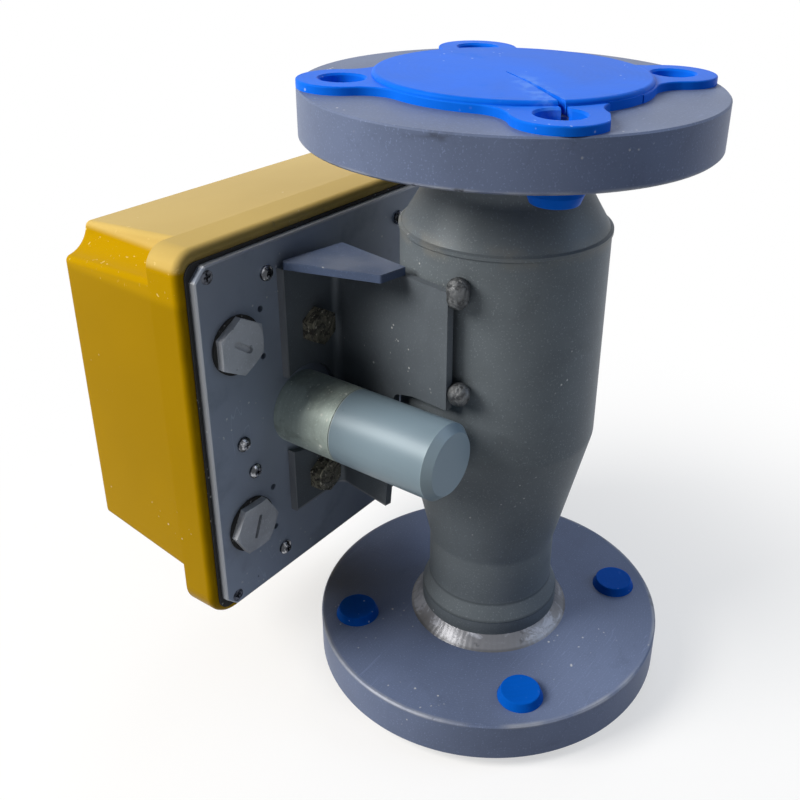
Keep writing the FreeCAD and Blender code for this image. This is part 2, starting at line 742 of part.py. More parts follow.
def base_plate():
    """Square plate with chamfered corners and all its holes."""
    side = PLATE_W / 2
    end = PLATE_H / 2
    flat_x = side - PLATE_CORNER
    flat_z = end - PLATE_CORNER
    corners = [(-flat_x, -end), (flat_x, -end), (side, -flat_z), (side, flat_z),
               (flat_x, end), (-flat_x, end), (-side, flat_z), (-side, -flat_z)]
    shape = plate([on_plate(x, PLATE_INNER, z) for x, z in corners], V(0, PLATE_T, 0))
    outer_edges = [edge for edge in shape.Edges
                   if abs(edge.CenterOfMass.y + PLATE_STANDOFF) < 0.01]
    shape = shape.makeChamfer(0.5, outer_edges)
    small = [on_plate(SMALL_HOLE_X, 0, side * z) for side in (-1, 1) for z in SMALL_HOLE_ZS]
    shape = through(shape, small, SMALL_HOLE_D / 2)
    shape = through(shape, [sleeve_axis(0)], SPIGOT_R + SEAT_CLEARANCE)
    shape = through(shape, [bolt_axis(-1, 0), bolt_axis(1, 0)], BOLT_D / 2 + 0.25)
    shape = through(shape, plug_places(0), PLUG_SHANK_D / 2 + 0.2)
    shape = through(shape, pillar_places(0), PILLAR_SCREW_D / 2 + 0.1)
    shape = through(shape, terminal_screw_places(0), PILLAR_SCREW_D / 2 + 0.1)
    for place in corner_places(0):
        shape = shape.cut(turned_at(corner_screw_profile(SEAT_CLEARANCE, PLATE_T + 1), place, BACK * -1))
    return shape


def corner_screw_profile(room, length):
    """Countersunk screw from its flat head down; room widens it into its hole."""
    head = CORNER_SCREW_HEAD_D / 2 + room
    shank = CORNER_SCREW_D / 2 + room
    sink = CORNER_SCREW_HEAD_D / 2 - CORNER_SCREW_D / 2
    return [(0, 0), (head, 0), (head, 0.5), (shank, 0.5 + sink), (shank, length), (0, length)]


def corner_screw(place):
    """Countersunk cross-head screw, set a little below the plate's face."""
    screw = turned_at(corner_screw_profile(0, CORNER_SCREW_LENGTH), place, BACK * -1)
    wide = CORNER_SCREW_HEAD_D * 0.55
    for length, width in ((wide, 0.8), (0.8, wide)):
        corner = place + V(-length / 2, -1.0, -width / 2)
        screw = screw.cut(Part.makeBox(length, 2.0, width, corner))
    return screw


def hood_gasket():
    """Flat seal between plate and hood."""
    centre = on_plate(0, HOOD_FACE, 0)
    width = PLATE_W + 2 * GASKET_LAP
    height = PLATE_H + 2 * GASKET_LAP
    outer = rounded_box(width, height, PLATE_CORNER, centre, GASKET_T)
    inner = rounded_box(width - 2 * GASKET_W, height - 2 * GASKET_W, 1.0, centre, GASKET_T)
    pads = [rod(8, place, place + V(0, GASKET_T, 0)) for place in corner_places(HOOD_FACE)]
    shape = outer.cut(inner)
    for pad in pads:
        shape = shape.fuse(pad.common(outer))
    return through(shape.removeSplitter(), corner_places(0), CORNER_SCREW_D / 2 + 0.3)


def channel_corner(half_w, half_h, sx, sz, radius, inset, edge_r, e, first_side):
    """Edges of one channelled corner of the hood's section, from one straight side to the other."""
    away = radius + inset
    reach = math.sqrt((away + edge_r) ** 2 - (inset + edge_r) ** 2)
    share = away / (away + edge_r)
    side = [(half_w - inset, half_h - reach), (half_w - inset - edge_r, half_h - reach)]
    top = [(half_w - reach, half_h - inset), (half_w - reach, half_h - inset - edge_r)]

    def touch(centre):
        return (half_w + (centre[0] - half_w) * share, half_h + (centre[1] - half_h) * share)

    def halfway(centre, start, end):
        mx = (start[0] + end[0]) / 2 - centre[0]
        mz = (start[1] + end[1]) / 2 - centre[1]
        size = math.hypot(mx, mz)
        return (centre[0] + mx / size * edge_r, centre[1] + mz / size * edge_r)

    diagonal = away / math.sqrt(2)
    points = [side[0], halfway(side[1], side[0], touch(side[1])), touch(side[1]),
              (half_w - diagonal, half_h - diagonal),
              touch(top[1]), halfway(top[1], top[0], touch(top[1])), top[0]]
    if not first_side:
        points.reverse()
    placed = [on_plate(sx * x, e, sz * z) for x, z in points]
    return placed


def hood_section(e, inset, edge_r):
    """Closed section of the hood's body at a depth, inset by a wall."""
    share = (LEDGE_E - e) / (LEDGE_E - FRONT_E)
    half_w = RIM_WIDTH / 2 - RIM_LEDGE - HOOD_SIDE_DRAFT * share
    half_h = RIM_HEIGHT / 2 - RIM_LEDGE - HOOD_TOP_DRAFT * share
    upper = UPPER_CHANNEL_R - CHANNEL_TAPER * share
    lower = LOWER_CHANNEL_R
    corners = [
        channel_corner(half_w, half_h, 1, 1, upper, inset, edge_r, e, True),
        channel_corner(half_w, half_h, -1, 1, upper, inset, edge_r, e, False),
        channel_corner(half_w, half_h, -1, -1, lower, inset, edge_r, e, True),
        channel_corner(half_w, half_h, 1, -1, lower, inset, edge_r, e, False)]
    edges = []
    for index, points in enumerate(corners):
        for start in (0, 2, 4):
            edges.append(Part.Arc(*points[start:start + 3]).toShape())
        following = corners[(index + 1) % 4][0]
        edges.append(Part.LineSegment(points[-1], following).toShape())
    return Part.Wire(edges)


def hood_body(from_e, to_e, inset, edge_r):
    """Tapered body between two depths."""
    sections = [hood_section(from_e, inset, edge_r), hood_section(to_e, inset, edge_r)]
    return Part.makeLoft(sections, True, True)


def hood_shell():
    """Outer form of the hood: full rim and channelled body with a rounded front edge."""
    body = hood_body(LEDGE_E + 1, FRONT_E, 0, HOOD_EDGE_R)
    front = [edge for edge in body.Edges
             if abs(edge.BoundBox.YMax + PLATE_STANDOFF - FRONT_E) < 0.01]
    body = body.makeFillet(FRONT_EDGE_R, front)
    rim = rounded_box(
        RIM_WIDTH, RIM_HEIGHT, RIM_CORNER_R, on_plate(0, LEDGE_E, 0), RIM_DEPTH, LOWER_RIM_CORNER_R)
    rear = [edge for edge in rim.Edges
            if abs(edge.BoundBox.YMin + PLATE_STANDOFF - HOOD_FACE) < 0.01]
    rim = rim.makeFillet(RIM_EDGE_R, rear)
    return rim.fuse(body)


def hood():
    """Moulded hood with its cavity, screw bosses and window opening."""
    shape = hood_shell()
    floor_e = LEDGE_E + HOOD_WALL
    wide = rounded_box(
        RIM_WIDTH - 2 * RIM_LAND, RIM_HEIGHT - 2 * RIM_LAND, RIM_CORNER_R - RIM_LAND,
        on_plate(0, floor_e, 0), RIM_DEPTH, LOWER_RIM_CORNER_R - RIM_LAND)
    shape = shape.cut(wide).cut(hood_body(floor_e + 1, FRONT_INNER, HOOD_WALL, 1.0))
    boss_r = CORNER_SCREW_D / 2 + SCREW_BOSS_WALL
    for place in corner_places(LEDGE_E):
        shape = shape.fuse(rod(boss_r, place, place + V(0, RIM_DEPTH, 0)))
        start = place + V(0, RIM_DEPTH - CORNER_SCREW_LENGTH + GASKET_T + PLATE_T - 1, 0)
        shape = shape.cut(rod(CORNER_SCREW_D / 2 + SEAT_CLEARANCE, start, place + V(0, RIM_DEPTH + 1, 0)))
    for place in frame_screw_places(FRONT_INNER):
        shape = shape.fuse(rod(FRAME_BOSS_D / 2, place + V(0, -0.5, 0), at(place.x, GLASS_BACK, place.z)))
        hole_start = at(place.x, GLASS_BACK - 5, place.z)
        shape = shape.cut(rod(FRAME_SCREW_D / 2 + SEAT_CLEARANCE, hole_start, at(place.x, 0, place.z)))
    opening = rounded_box(
        WINDOW_W, WINDOW_H, WINDOW_CORNER_R, on_plate(0, FRONT_E - 1, 0), HOOD_FRONT_WALL + 2)
    return shape.cut(opening)


def frame_screw_places(e):
    """Three screws on each side of the window frame."""
    return [on_plate(sx * FRAME_SCREW_X, e, row * FRAME_SCREW_PITCH)
            for sx in (-1, 1) for row in (-1, 0, 1)]


def window_pane(lap, start_e, thickness):
    """Rounded pane that laps the window opening all round."""
    return rounded_box(
        WINDOW_W + 2 * lap, WINDOW_H + 2 * lap, WINDOW_CORNER_R + lap, on_plate(0, start_e, 0), thickness)


def window_gasket():
    """Seal in front of the glass."""
    outer = window_pane(WINDOW_SEAL_LAP, FRONT_INNER, WINDOW_SEAL_T)
    return outer.cut(window_pane(0.0, FRONT_INNER, WINDOW_SEAL_T))


def frame_corner():
    """Corner radius of the frame that keeps it clear of the hood's lower channels."""
    side = WINDOW_SIDE - FRAME_LAP_X
    end = WINDOW_END - FRAME_LAP_Z
    room = LOWER_CHANNEL_R + HOOD_WALL + FRAME_CORNER_ROOM
    spare = room - side - end
    return spare + math.sqrt(spare ** 2 + room ** 2 - side ** 2 - end ** 2)


def window_frame():
    """Sheet frame that presses the glass onto its seal."""
    outer = rounded_box(
        WINDOW_W + 2 * FRAME_LAP_X, WINDOW_H + 2 * FRAME_LAP_Z, frame_corner(),
        on_plate(0, GLASS_BACK, 0), FRAME_T)
    shape = outer.cut(window_pane(0.0, GLASS_BACK, FRAME_T))
    return through(shape, frame_screw_places(0), FRAME_SCREW_D / 2 + 0.15)


def dial_corner():
    """Corner radius of the dial that leaves a wall round the holes of its screws."""
    side = DIAL_W / 2 - PILLAR_X
    end = DIAL_H / 2 - PILLAR_Z
    wall = PILLAR_SCREW_D / 2 + DIAL_HOLE_WALL
    reach = side + end - wall
    return min(DIAL_CORNER_R, reach + math.sqrt(reach ** 2 + wall ** 2 - side ** 2 - end ** 2))


def dial_plate():
    """Dial on its pillars, with a hole for the spindle."""
    shape = rounded_box(DIAL_W, DIAL_H, dial_corner(), on_plate(0, DIAL_FRONT, 0), DIAL_T)
    shape = through(shape, pillar_places(0), PILLAR_SCREW_D / 2 + 0.1)
    return through(shape, [sleeve_axis(0)], SPINDLE_D / 2 + 1.5)


def dial_pillar(place):
    """Turned pillar, threaded at both ends."""
    pillar = rod(PILLAR_D / 2, at(place.x, DIAL_BACK, place.z), at(place.x, PLATE_INNER, place.z))
    hole = PILLAR_SCREW_D / 2 + SEAT_CLEARANCE
    deep = PILLAR_SCREW_REACH + 1
    front = rod(hole, at(place.x, DIAL_BACK, place.z), at(place.x, DIAL_BACK + deep, place.z))
    rear = rod(hole, at(place.x, PLATE_INNER - deep, place.z), at(place.x, PLATE_INNER, place.z))
    return pillar.cut(front).cut(rear)


def pointer():
    """Flat pointer with hub and tail, drawn at rest: down and away from the pivot at 45 degrees."""
    base = sleeve_axis(POINTER_BACK - POINTER_T)
    half = POINTER_W / 2
    blade = [
        base + V(-POINTER_LENGTH, 0, 0.3), base + V(-POINTER_LENGTH, 0, -0.3),
        base + V(-POINTER_HUB_D / 2, 0, -half), base + V(POINTER_TAIL * 0.5, 0, -half),
        (base + V(POINTER_TAIL, 0, -half * 1.8), 1.5), (base + V(POINTER_TAIL, 0, half * 1.8), 1.5),
        base + V(POINTER_TAIL * 0.5, 0, half), base + V(-POINTER_HUB_D / 2, 0, half)]
    shape = plate(blade, V(0, POINTER_T, 0))
    hub_start = SPINDLE_FRONT + 0.4
    shape = shape.fuse(rod(POINTER_HUB_D / 2, sleeve_axis(hub_start), sleeve_axis(hub_start + POINTER_HUB_H)))
    shape = shape.cut(rod(SPINDLE_D / 2 + SEAT_CLEARANCE, sleeve_axis(SPINDLE_FRONT - 1), sleeve_axis(0)))
    shape.rotate(sleeve_axis(0), BACK, -POINTER_SWING / 2)
    return shape.removeSplitter()


def sleeve():
    """Round body between plate and cap, with a spigot at each end."""
    shape = rod(SLEEVE_D / 2, sleeve_axis(0), sleeve_axis(SLEEVE_LENGTH))
    inner_end = PLATE_INNER - INNER_SPIGOT
    shape = shape.fuse(rod(SPIGOT_R, sleeve_axis(inner_end), sleeve_axis(SLEEVE_LENGTH + OUTER_SPIGOT)))
    groove_e = SLEEVE_LENGTH + OUTER_SPIGOT / 2
    groove = ring(SPIGOT_R + 1, SPIGOT_R - SEAL_GROOVE,
                  sleeve_axis(groove_e - SEAL_D / 2), sleeve_axis(groove_e + SEAL_D / 2))
    bore = rod(SLEEVE_BORE_D / 2, sleeve_axis(inner_end - 1), sleeve_axis(SLEEVE_LENGTH + OUTER_SPIGOT + 1))
    return shape.cut(groove).cut(bore).removeSplitter()


def sleeve_seal():
    """Ring seal in the groove of the outer spigot."""
    groove_e = SLEEVE_LENGTH + OUTER_SPIGOT / 2
    half = SEAL_D / 2 - SEAT_CLEARANCE
    inner = SPIGOT_R - SEAL_GROOVE + SEAT_CLEARANCE
    return ring(SPIGOT_R, inner, sleeve_axis(groove_e - half), sleeve_axis(groove_e + half))


def sleeve_nut():
    """Round nut with two flats that holds the sleeve and the bearing bridge."""
    start = PLATE_INNER - BRIDGE_T - SLEEVE_NUT_T
    shape = rod(SLEEVE_NUT_D / 2, sleeve_axis(start), sleeve_axis(start + SLEEVE_NUT_T))
    flat = SLEEVE_NUT_D * 0.88
    corner = sleeve_axis(start) - V(flat / 2, 0, SLEEVE_NUT_D / 2)
    block = Part.makeBox(flat, SLEEVE_NUT_T, SLEEVE_NUT_D, corner)
    shape = shape.common(block)
    return shape.cut(rod(SPIGOT_R + SEAT_CLEARANCE, sleeve_axis(start - 1), sleeve_axis(0)))


def sleeve_cap():
    """Thin-walled cap over the follower magnet, with a chamfered end."""
    chamfer_e = CAP_END_E - CAP_CHAMFER_L
    bore = CAP_R - CAP_WALL
    socket = SPIGOT_R + SEAT_CLEARANCE
    socket_e = OUTER_SPIGOT + 0.4
    length = CAP_END_E - SLEEVE_LENGTH
    return turned_at([
        (socket, 0), (CAP_R - 0.3, 0), (CAP_R, 0.3), (CAP_R, chamfer_e - SLEEVE_LENGTH),
        (CAP_R - CAP_CHAMFER_R, length), (0, length), (0, length - CAP_END_WALL),
        (bore, length - CAP_END_WALL), (bore, socket_e), (socket, socket_e)],
        sleeve_axis(SLEEVE_LENGTH), BACK)


def bearing_bridge():
    """Folded bracket inside the housing that carries the front bearing."""
    half = BRIDGE_BASE / 2
    arm_e = PLATE_INNER - BRIDGE_REACH
    x0 = SLEEVE_X - half
    x1 = SLEEVE_X + half
    section = [
        at(x0, PLATE_INNER, 0), at(x1, PLATE_INNER, 0), at(x1, arm_e, 0),
        at(SLEEVE_X - BEARING_D, arm_e, 0), at(SLEEVE_X - BEARING_D, arm_e + BRIDGE_T, 0),
        at(x1 - BRIDGE_T, arm_e + BRIDGE_T, 0), at(x1 - BRIDGE_T, PLATE_INNER - BRIDGE_T, 0),
        at(x0, PLATE_INNER - BRIDGE_T, 0)]
    radii = (0, BRIDGE_T * 2, BRIDGE_T * 2, 0, 0, BRIDGE_T, BRIDGE_T, 0)
    strip = plate([(p, r) for p, r in zip(section, radii)], V(0, 0, BRIDGE_BASE))
    strip.translate(V(0, 0, INDICATOR_Z - half))
    beyond = BRIDGE_REACH + 10
    for side in (-1, 1):
        low = INDICATOR_Z + (BRIDGE_W / 2 if side > 0 else -half - 5)
        waste = Part.makeBox(
            BRIDGE_BASE + 10, beyond, half - BRIDGE_W / 2 + 5,
            at(x0 - 5, PLATE_INNER - BRIDGE_T - 4 - beyond, low))
        strip = strip.cut(waste)
    strip = strip.cut(rod(SPIGOT_R + SEAT_CLEARANCE, sleeve_axis(PLATE_INNER - 3), sleeve_axis(0)))
    return strip.cut(rod(BEARING_D / 2 + SEAT_CLEARANCE, sleeve_axis(arm_e - 1), sleeve_axis(arm_e + 4)))


def front_bearing():
    """Flanged bush in the arm of the bridge."""
    arm_e = PLATE_INNER - BRIDGE_REACH
    shape = rod(BEARING_D / 2, sleeve_axis(arm_e), sleeve_axis(arm_e + BEARING_L - 1))
    shape = shape.fuse(rod(BEARING_D / 2 + 1.5, sleeve_axis(arm_e - 1), sleeve_axis(arm_e)))
    bore = SPINDLE_D / 2 + SPINDLE_CLEARANCE
    return shape.cut(rod(bore, sleeve_axis(arm_e - 2), sleeve_axis(arm_e + BEARING_L))).removeSplitter()


def rear_bearing():
    """Bush inside the sleeve."""
    start = sleeve_axis(REAR_BEARING_E)
    end = sleeve_axis(REAR_BEARING_E + BEARING_L)
    return ring(SLEEVE_BORE_D / 2 - SEAT_CLEARANCE, SPINDLE_D / 2 + SPINDLE_CLEARANCE, start, end)


def pointer_spindle():
    """Spindle from the pointer to the magnet holder."""
    return rod(SPINDLE_D / 2, sleeve_axis(SPINDLE_FRONT), sleeve_axis(holder_start() + HOLDER_L - 1))


def holder_start():
    """Where the magnet holder begins, so that the magnet lies behind it."""
    return FOLLOWER_E - FOLLOWER_W / 2 - HOLDER_L


def magnet_holder():
    """Hub at the end of the spindle that carries the follower magnet."""
    start = holder_start()
    shape = rod(HOLDER_D / 2, sleeve_axis(start), sleeve_axis(start + HOLDER_L))
    hole = SPINDLE_D / 2 + SEAT_CLEARANCE
    return shape.cut(rod(hole, sleeve_axis(start - 1), sleeve_axis(start + HOLDER_L - 1)))


def follower_magnet():
    """Bar magnet across the spindle's end, level with the float magnet at mid-travel."""
    corner = sleeve_axis(FOLLOWER_E - FOLLOWER_W / 2) - V(FOLLOWER_W / 2, 0, FOLLOWER_L / 2)
    return Part.makeBox(FOLLOWER_W, FOLLOWER_W, FOLLOWER_L, corner)


def cable_plug(place, corner_turn, slot_width, slot_turn):
    """Hexagonal blanking plug with a screwdriver slot."""
    start = place + V(0, PLUG_GASKET_T, 0)
    end = start + V(0, PLUG_HEAD_T, 0)
    head = hexagon(PLUG_AF, start, end, corner_turn)
    crown = turned_at([
        (0, 0), (PLUG_AF, 0), (PLUG_AF, PLUG_HEAD_T - 2.0), (PLUG_AF * 0.5, PLUG_HEAD_T),
        (0, PLUG_HEAD_T)], start, BACK)
    shape = head.common(crown)
    slot = rounded_box(
        SLOT_LENGTH, slot_width, slot_width * 0.49, end - V(0, SLOT_DEPTH, 0), SLOT_DEPTH + 1)
    slot.rotate(end, BACK, slot_turn)
    shape = shape.cut(slot)
    return shape.fuse(rod(PLUG_SHANK_D / 2, start - V(0, PLUG_SHANK_L, 0), start + V(0, 0.5, 0)))


def plug_gasket(place):
    """Washer under a plug."""
    return ring(PLUG_GASKET_D / 2, PLUG_SHANK_D / 2 + SEAT_CLEARANCE, place, place + V(0, PLUG_GASKET_T, 0))


def plug_nut(place):
    """Nut of a plug, inside the plate."""
    end = place + V(0, PLATE_INNER, 0)
    start = end - V(0, PLUG_NUT_T, 0)
    nut = hexagon(PLUG_NUT_AF, start, end, 30)
    return nut.cut(rod(PLUG_SHANK_D / 2 + SEAT_CLEARANCE, start - V(0, 1, 0), end + V(0, 1, 0)))


def terminal_block():
    """Moulded block with a row of wire entries and clamp holes."""
    front = PLATE_INNER - TERMINAL_DEPTH
    centre = on_plate(TERMINAL_X, front, TERMINAL_Z)
    shape = Part.makeBox(
        TERMINAL_W, TERMINAL_DEPTH, TERMINAL_H, centre - V(TERMINAL_W / 2, 0, TERMINAL_H / 2))
    pitch = TERMINAL_H / TERMINAL_WAYS
    for place in terminal_clamp_places(front):
        clamp = rod(pitch * 0.33, place, place + V(0, 3, 0))
        entry = Part.makeBox(6, 4, pitch * 0.6, place + V(-TERMINAL_W / 2 - 1, 4, -pitch * 0.3))
        shape = shape.cut(clamp).cut(entry)
    holes = terminal_screw_places(PLATE_INNER - 5)
    for place in holes:
        shape = shape.cut(rod(PILLAR_SCREW_D / 2 + SEAT_CLEARANCE, place, place + V(0, 6, 0)))
    return shape


def terminal_clamp_places(e):
    """The clamp screws of the terminal block."""
    pitch = TERMINAL_H / TERMINAL_WAYS
    return [on_plate(TERMINAL_X + 2.0, e, TERMINAL_Z + (index - (TERMINAL_WAYS - 1) / 2) * pitch)
            for index in range(TERMINAL_WAYS)]


def protector_plan(ear_r):
    """Outline of a protector: disc arcs, four ears and concave flares between them."""
    centre = BOLT_CIRCLE_D / 2
    disc_r = COVER_D / 2
    to_disc = disc_r + EAR_FLARE_R
    to_ear = ear_r + EAR_FLARE_R
    cosine = (to_disc ** 2 + centre ** 2 - to_ear ** 2) / (2 * to_disc * centre)
    angle = math.acos(cosine)
    pivot = V(to_disc * math.cos(angle), to_disc * math.sin(angle), 0)
    on_disc = pivot * (disc_r / to_disc)
    on_ear = V(centre, 0, 0) + (pivot - V(centre, 0, 0)) * (ear_r / to_ear)
    nearest = pivot + ((on_disc + on_ear) * 0.5 - pivot).normalize() * EAR_FLARE_R
    edges = []
    step = 360 / BOLT_COUNT
    for index in range(BOLT_COUNT):
        spin = FreeCAD.Rotation(UP, FIRST_BOLT_ANGLE + step * index)
        following = FreeCAD.Rotation(UP, FIRST_BOLT_ANGLE + step * (index + 1))
        between = FreeCAD.Rotation(UP, FIRST_BOLT_ANGLE + step * (index + 0.5))

        def low(point):
            return spin.multVec(V(point.x, -point.y, 0))

        high = spin.multVec
        next_start = following.multVec(V(on_disc.x, -on_disc.y, 0))
        edges.append(Part.Arc(low(on_disc), low(nearest), low(on_ear)).toShape())
        edges.append(Part.Arc(low(on_ear), high(V(centre + ear_r, 0, 0)), high(on_ear)).toShape())
        edges.append(Part.Arc(high(on_ear), high(nearest), high(on_disc)).toShape())
        edges.append(Part.Arc(high(on_disc), between.multVec(V(disc_r, 0, 0)), next_start).toShape())
    return Part.Wire(edges)


def peg(past, hollow):
    """Peg below an ear with a conical end past the flange, or the space inside it."""
    length = FLANGE_T + past
    if hollow:
        mouth = PEG_TOP_D / 2 - PEG_WALL
        end = PEG_END_D / 2 - PEG_WALL
        bottom = PEG_WALL * 1.3 - length
        lip = PEG_MOUTH_D / 2 - mouth
        return turned([
            (0, EAR_T + 1), (PEG_MOUTH_D / 2, EAR_T + 1), (PEG_MOUTH_D / 2, EAR_T), (mouth, EAR_T - lip),
            (end, bottom, PEG_HOLLOW_R), (0, bottom)])
    return turned([
        (0, EAR_T / 2), (PEG_TOP_D / 2, EAR_T / 2), (PEG_TOP_D / 2, PEG_CONE - length),
        (PEG_END_D / 2, -length, PEG_END_R), (0, -length)])


def protector(ear_r, past):
    """Flange protector in its own frame: Z 0 is the plane of the flange's rim face."""
    top = RAISED_FACE_T + COVER_WALL
    recess = RAISED_FACE_D / 2 + COVER_SKIRT_ROOM
    shape = Part.Face(protector_plan(ear_r)).extrude(V(0, 0, EAR_T))
    upper_edges = [edge for edge in shape.Edges if edge.BoundBox.ZMin > EAR_T - 0.01]
    shape = shape.makeFillet(EAR_EDGE_R, upper_edges)
    disc_r = COVER_D / 2 - EAR_EDGE_R
    shape = shape.fuse(turned([(0, 0.5), (disc_r, 0.5), (disc_r, top, COVER_EDGE_R), (0, top)]))
    shape = shape.cut(rod(recess, V(0, 0, -1), V(0, 0, RAISED_FACE_T)))
    for place in bolt_places(BOLT_CIRCLE_D / 2, 0):
        pin = peg(past, False)
        pin.translate(place)
        shape = shape.fuse(pin)
    for place in bolt_places(BOLT_CIRCLE_D / 2, 0):
        space = peg(past, True)
        space.translate(place)
        shape = shape.cut(space)
    return shape.removeSplitter().Solids[0]


def tear():
    """What the tear has opened: a wedge from the middle, the ear's inner wall and its far flare."""
    low = V(0, 0, -1)
    high = V(0, 0, RAISED_FACE_T + COVER_WALL + 2)
    disc_r = COVER_D / 2
    centre = BOLT_CIRCLE_D / 2
    rim_side = TEAR_END_SIDE
    bend = disc_r * 0.38
    wedge = [
        V(TEAR_START, TEAR_START_SIDE - TEAR_START_GAP / 2, 0),
        V(bend, TEAR_END_SIDE * 0.1 - TEAR_START_GAP, 0),
        V(disc_r * 0.8, rim_side * 0.7 - TEAR_END_GAP * 0.35, 0),
        V(centre - 4, rim_side - TEAR_END_GAP * 0.3, 0),
        V(centre - 4, rim_side + TEAR_END_GAP * 0.7, 0),
        V(disc_r * 0.8, rim_side * 0.7 + TEAR_END_GAP * 0.3, 0),
        V(bend, TEAR_END_SIDE * 0.1 + TEAR_START_GAP, 0),
        V(TEAR_START, TEAR_START_SIDE + TEAR_START_GAP / 2, 0)]
    flare = [
        V(disc_r, TEAR_SQUARE_IN + 1.5, 0), V(centre - 3, TEAR_SQUARE_IN, 0),
        V(centre + 15.2, TEAR_SQUARE_OUT, 0), V(centre + 25, TEAR_SQUARE_OUT + 25, 0),
        V(disc_r, TEAR_SQUARE_OUT + TEAR_FLARE_OUT, 0)]
    parts = []
    for points in (wedge, flare):
        parts.append(plate([p + low for p in points], high))
    edge_r = disc_r - EAR_EDGE_R / 2
    keep = rod(edge_r, V(0, 0, -2), V(0, 0, 20))
    parts[1] = parts[1].cut(keep)
    slit = ring(edge_r + TEAR_SLIT, edge_r, V(0, 0, -1), V(0, 0, EAR_T + 3))
    sector = [V(0, 0, -1), V(centre + 20, rim_side * 1.6, -1), V(centre, centre, -1)]
    parts.append(slit.common(plate(sector, V(0, 0, EAR_T + 4))))
    whole = parts[0].fuse(parts[1]).fuse(parts[2])
    whole.rotate(V(0, 0, 0), UP, FIRST_BOLT_ANGLE)
    return whole


def flange_cover_top():
    """Upper protector, torn from the middle out to its front ear."""
    shape = protector(EAR_R, UPPER_PEG_PAST).cut(tear())
    shape.translate(V(0, 0, TOP_RIM_Z))
    return shape


def flange_cover_bottom():
    """Lower protector, whole, with its pegs pointing up."""
    shape = protector(LOWER_EAR_R, LOWER_PEG_PAST)
    shape = shape.mirror(V(0, 0, 0), UP)
    shape.translate(V(0, 0, RIM_Z))
    return shape


def build_tube():
    """Pressure parts, float and guides."""
    body = turned(body_profile())
    reducer = upper_reducer()
    save("metering_body", body)
    save("upper_reducer", reducer)
    save("lower_collar", lower_collar())
    save("lower_flange", flange(FACE_Z, 1))
    save("upper_flange", flange(TOP_FACE_Z, -1))
    save("lower_flange_welds", *flange_welds(FACE_Z, 1))
    save("upper_flange_welds", *flange_welds(TOP_FACE_Z, -1))
    save("shoulder_weld", shoulder_weld(body.fuse(reducer)))
    save("lower_guide", guide(NECK_R - BODY_WALL, LOWER_HUB_Z))
    save("upper_guide", guide(BODY_R - BODY_WALL, UPPER_HUB_Z))
    save("float_head", float_lower())
    save("float_rod", float_upper())
    save("float_magnet", float_magnet())
    save("flange_cover_top", flange_cover_top())
    save("flange_cover_bottom", flange_cover_bottom())


def build_bracket():
    """Bracket between tube and indicator."""
    bracket = mounting_bracket()
    save("mounting_bracket", bracket)
    save("bracket_gusset", bracket_gusset())
    save("bracket_welds",
         bracket_weld(UPPER_WELD_FROM, UPPER_WELD_TO, WEB_END + 1.3, bracket),
         bracket_weld(LOWER_WELD_FROM, LOWER_WELD_TO, WEB_END + 3.0, bracket))
    save("bracket_bolts", bracket_bolt(1), bracket_bolt(-1))
    save("bracket_nuts", *bracket_nut(1), *bracket_nut(-1))


def build_housing():
    """Plate, hood, window and dial."""
    save("base_plate", base_plate())
    save("hood_gasket", hood_gasket())
    save("hood", hood())
    save("hood_screws", *[corner_screw(place) for place in corner_places(0)])
    save("window_gasket", window_gasket())
    save("window_glass", window_pane(GLASS_LAP, GLASS_FRONT, GLASS_T))
    save("window_frame", window_frame())
    save("window_frame_screws", *[
        pan_screw(FRAME_HEAD_D, FRAME_HEAD_H, FRAME_SCREW_D, FRAME_T + FRAME_SCREW_REACH, place, BACK * -1)
        for place in frame_screw_places(FRAME_BACK)])
    save("dial_plate", dial_plate())
    save("dial_pillars", *[dial_pillar(place) for place in pillar_places(0)])
    save("dial_screws", *[
        pan_screw(PAN_HEAD_D, PAN_HEAD_H, PILLAR_SCREW_D, DIAL_T + PILLAR_SCREW_REACH, place, BACK)
        for place in pillar_places(DIAL_FRONT)])
    save("pillar_screws", *[
        pan_screw(PAN_HEAD_D, PAN_HEAD_H, PILLAR_SCREW_D, PLATE_T + PILLAR_SCREW_REACH, place, BACK * -1)
        for place in pillar_places(0)])
    upper, lower = plug_places(0)
    save("cable_plug_upper", cable_plug(upper, UPPER_PLUG_TURN, UPPER_SLOT_WIDTH, UPPER_SLOT_TURN))
    save("cable_plug_lower", cable_plug(lower, LOWER_PLUG_TURN, LOWER_SLOT_WIDTH, LOWER_SLOT_TURN))
    save("plug_gaskets", *[plug_gasket(place) for place in plug_places(0)])
    save("plug_nuts", *[plug_nut(place) for place in plug_places(0)])
    save("terminal_block", terminal_block())
    save("terminal_screws", *[
        pan_screw(PAN_HEAD_D, PAN_HEAD_H, PILLAR_SCREW_D, PLATE_T + 4, place, BACK * -1)
        for place in terminal_screw_places(0)])
    clamp_r = TERMINAL_H / TERMINAL_WAYS * 0.33
    save("terminal_clamp_screws", *[
        rod(clamp_r - SEAT_CLEARANCE, place + V(0, 1, 0), place + V(0, 3, 0))
        for place in terminal_clamp_places(PLATE_INNER - TERMINAL_DEPTH)])


def build_coupling():
    """Sleeve, spindle, follower magnet and pointer."""
    save("sleeve", sleeve())
    save("sleeve_nut", sleeve_nut())
    save("sleeve_cap", sleeve_cap())
    save("sleeve_seal", sleeve_seal())
    save("bearing_bridge", bearing_bridge())
    save("front_bearing", front_bearing())
    save("rear_bearing", rear_bearing())
    save("pointer_spindle", pointer_spindle())
    save("magnet_holder", magnet_holder())
    save("follower_magnet", follower_magnet())
    save("pointer", pointer())


os.makedirs("parts", exist_ok=True)
build_tube()
build_bracket()
build_housing()
build_coupling()
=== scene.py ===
import math

import bpy
from mathutils import Matrix, Vector


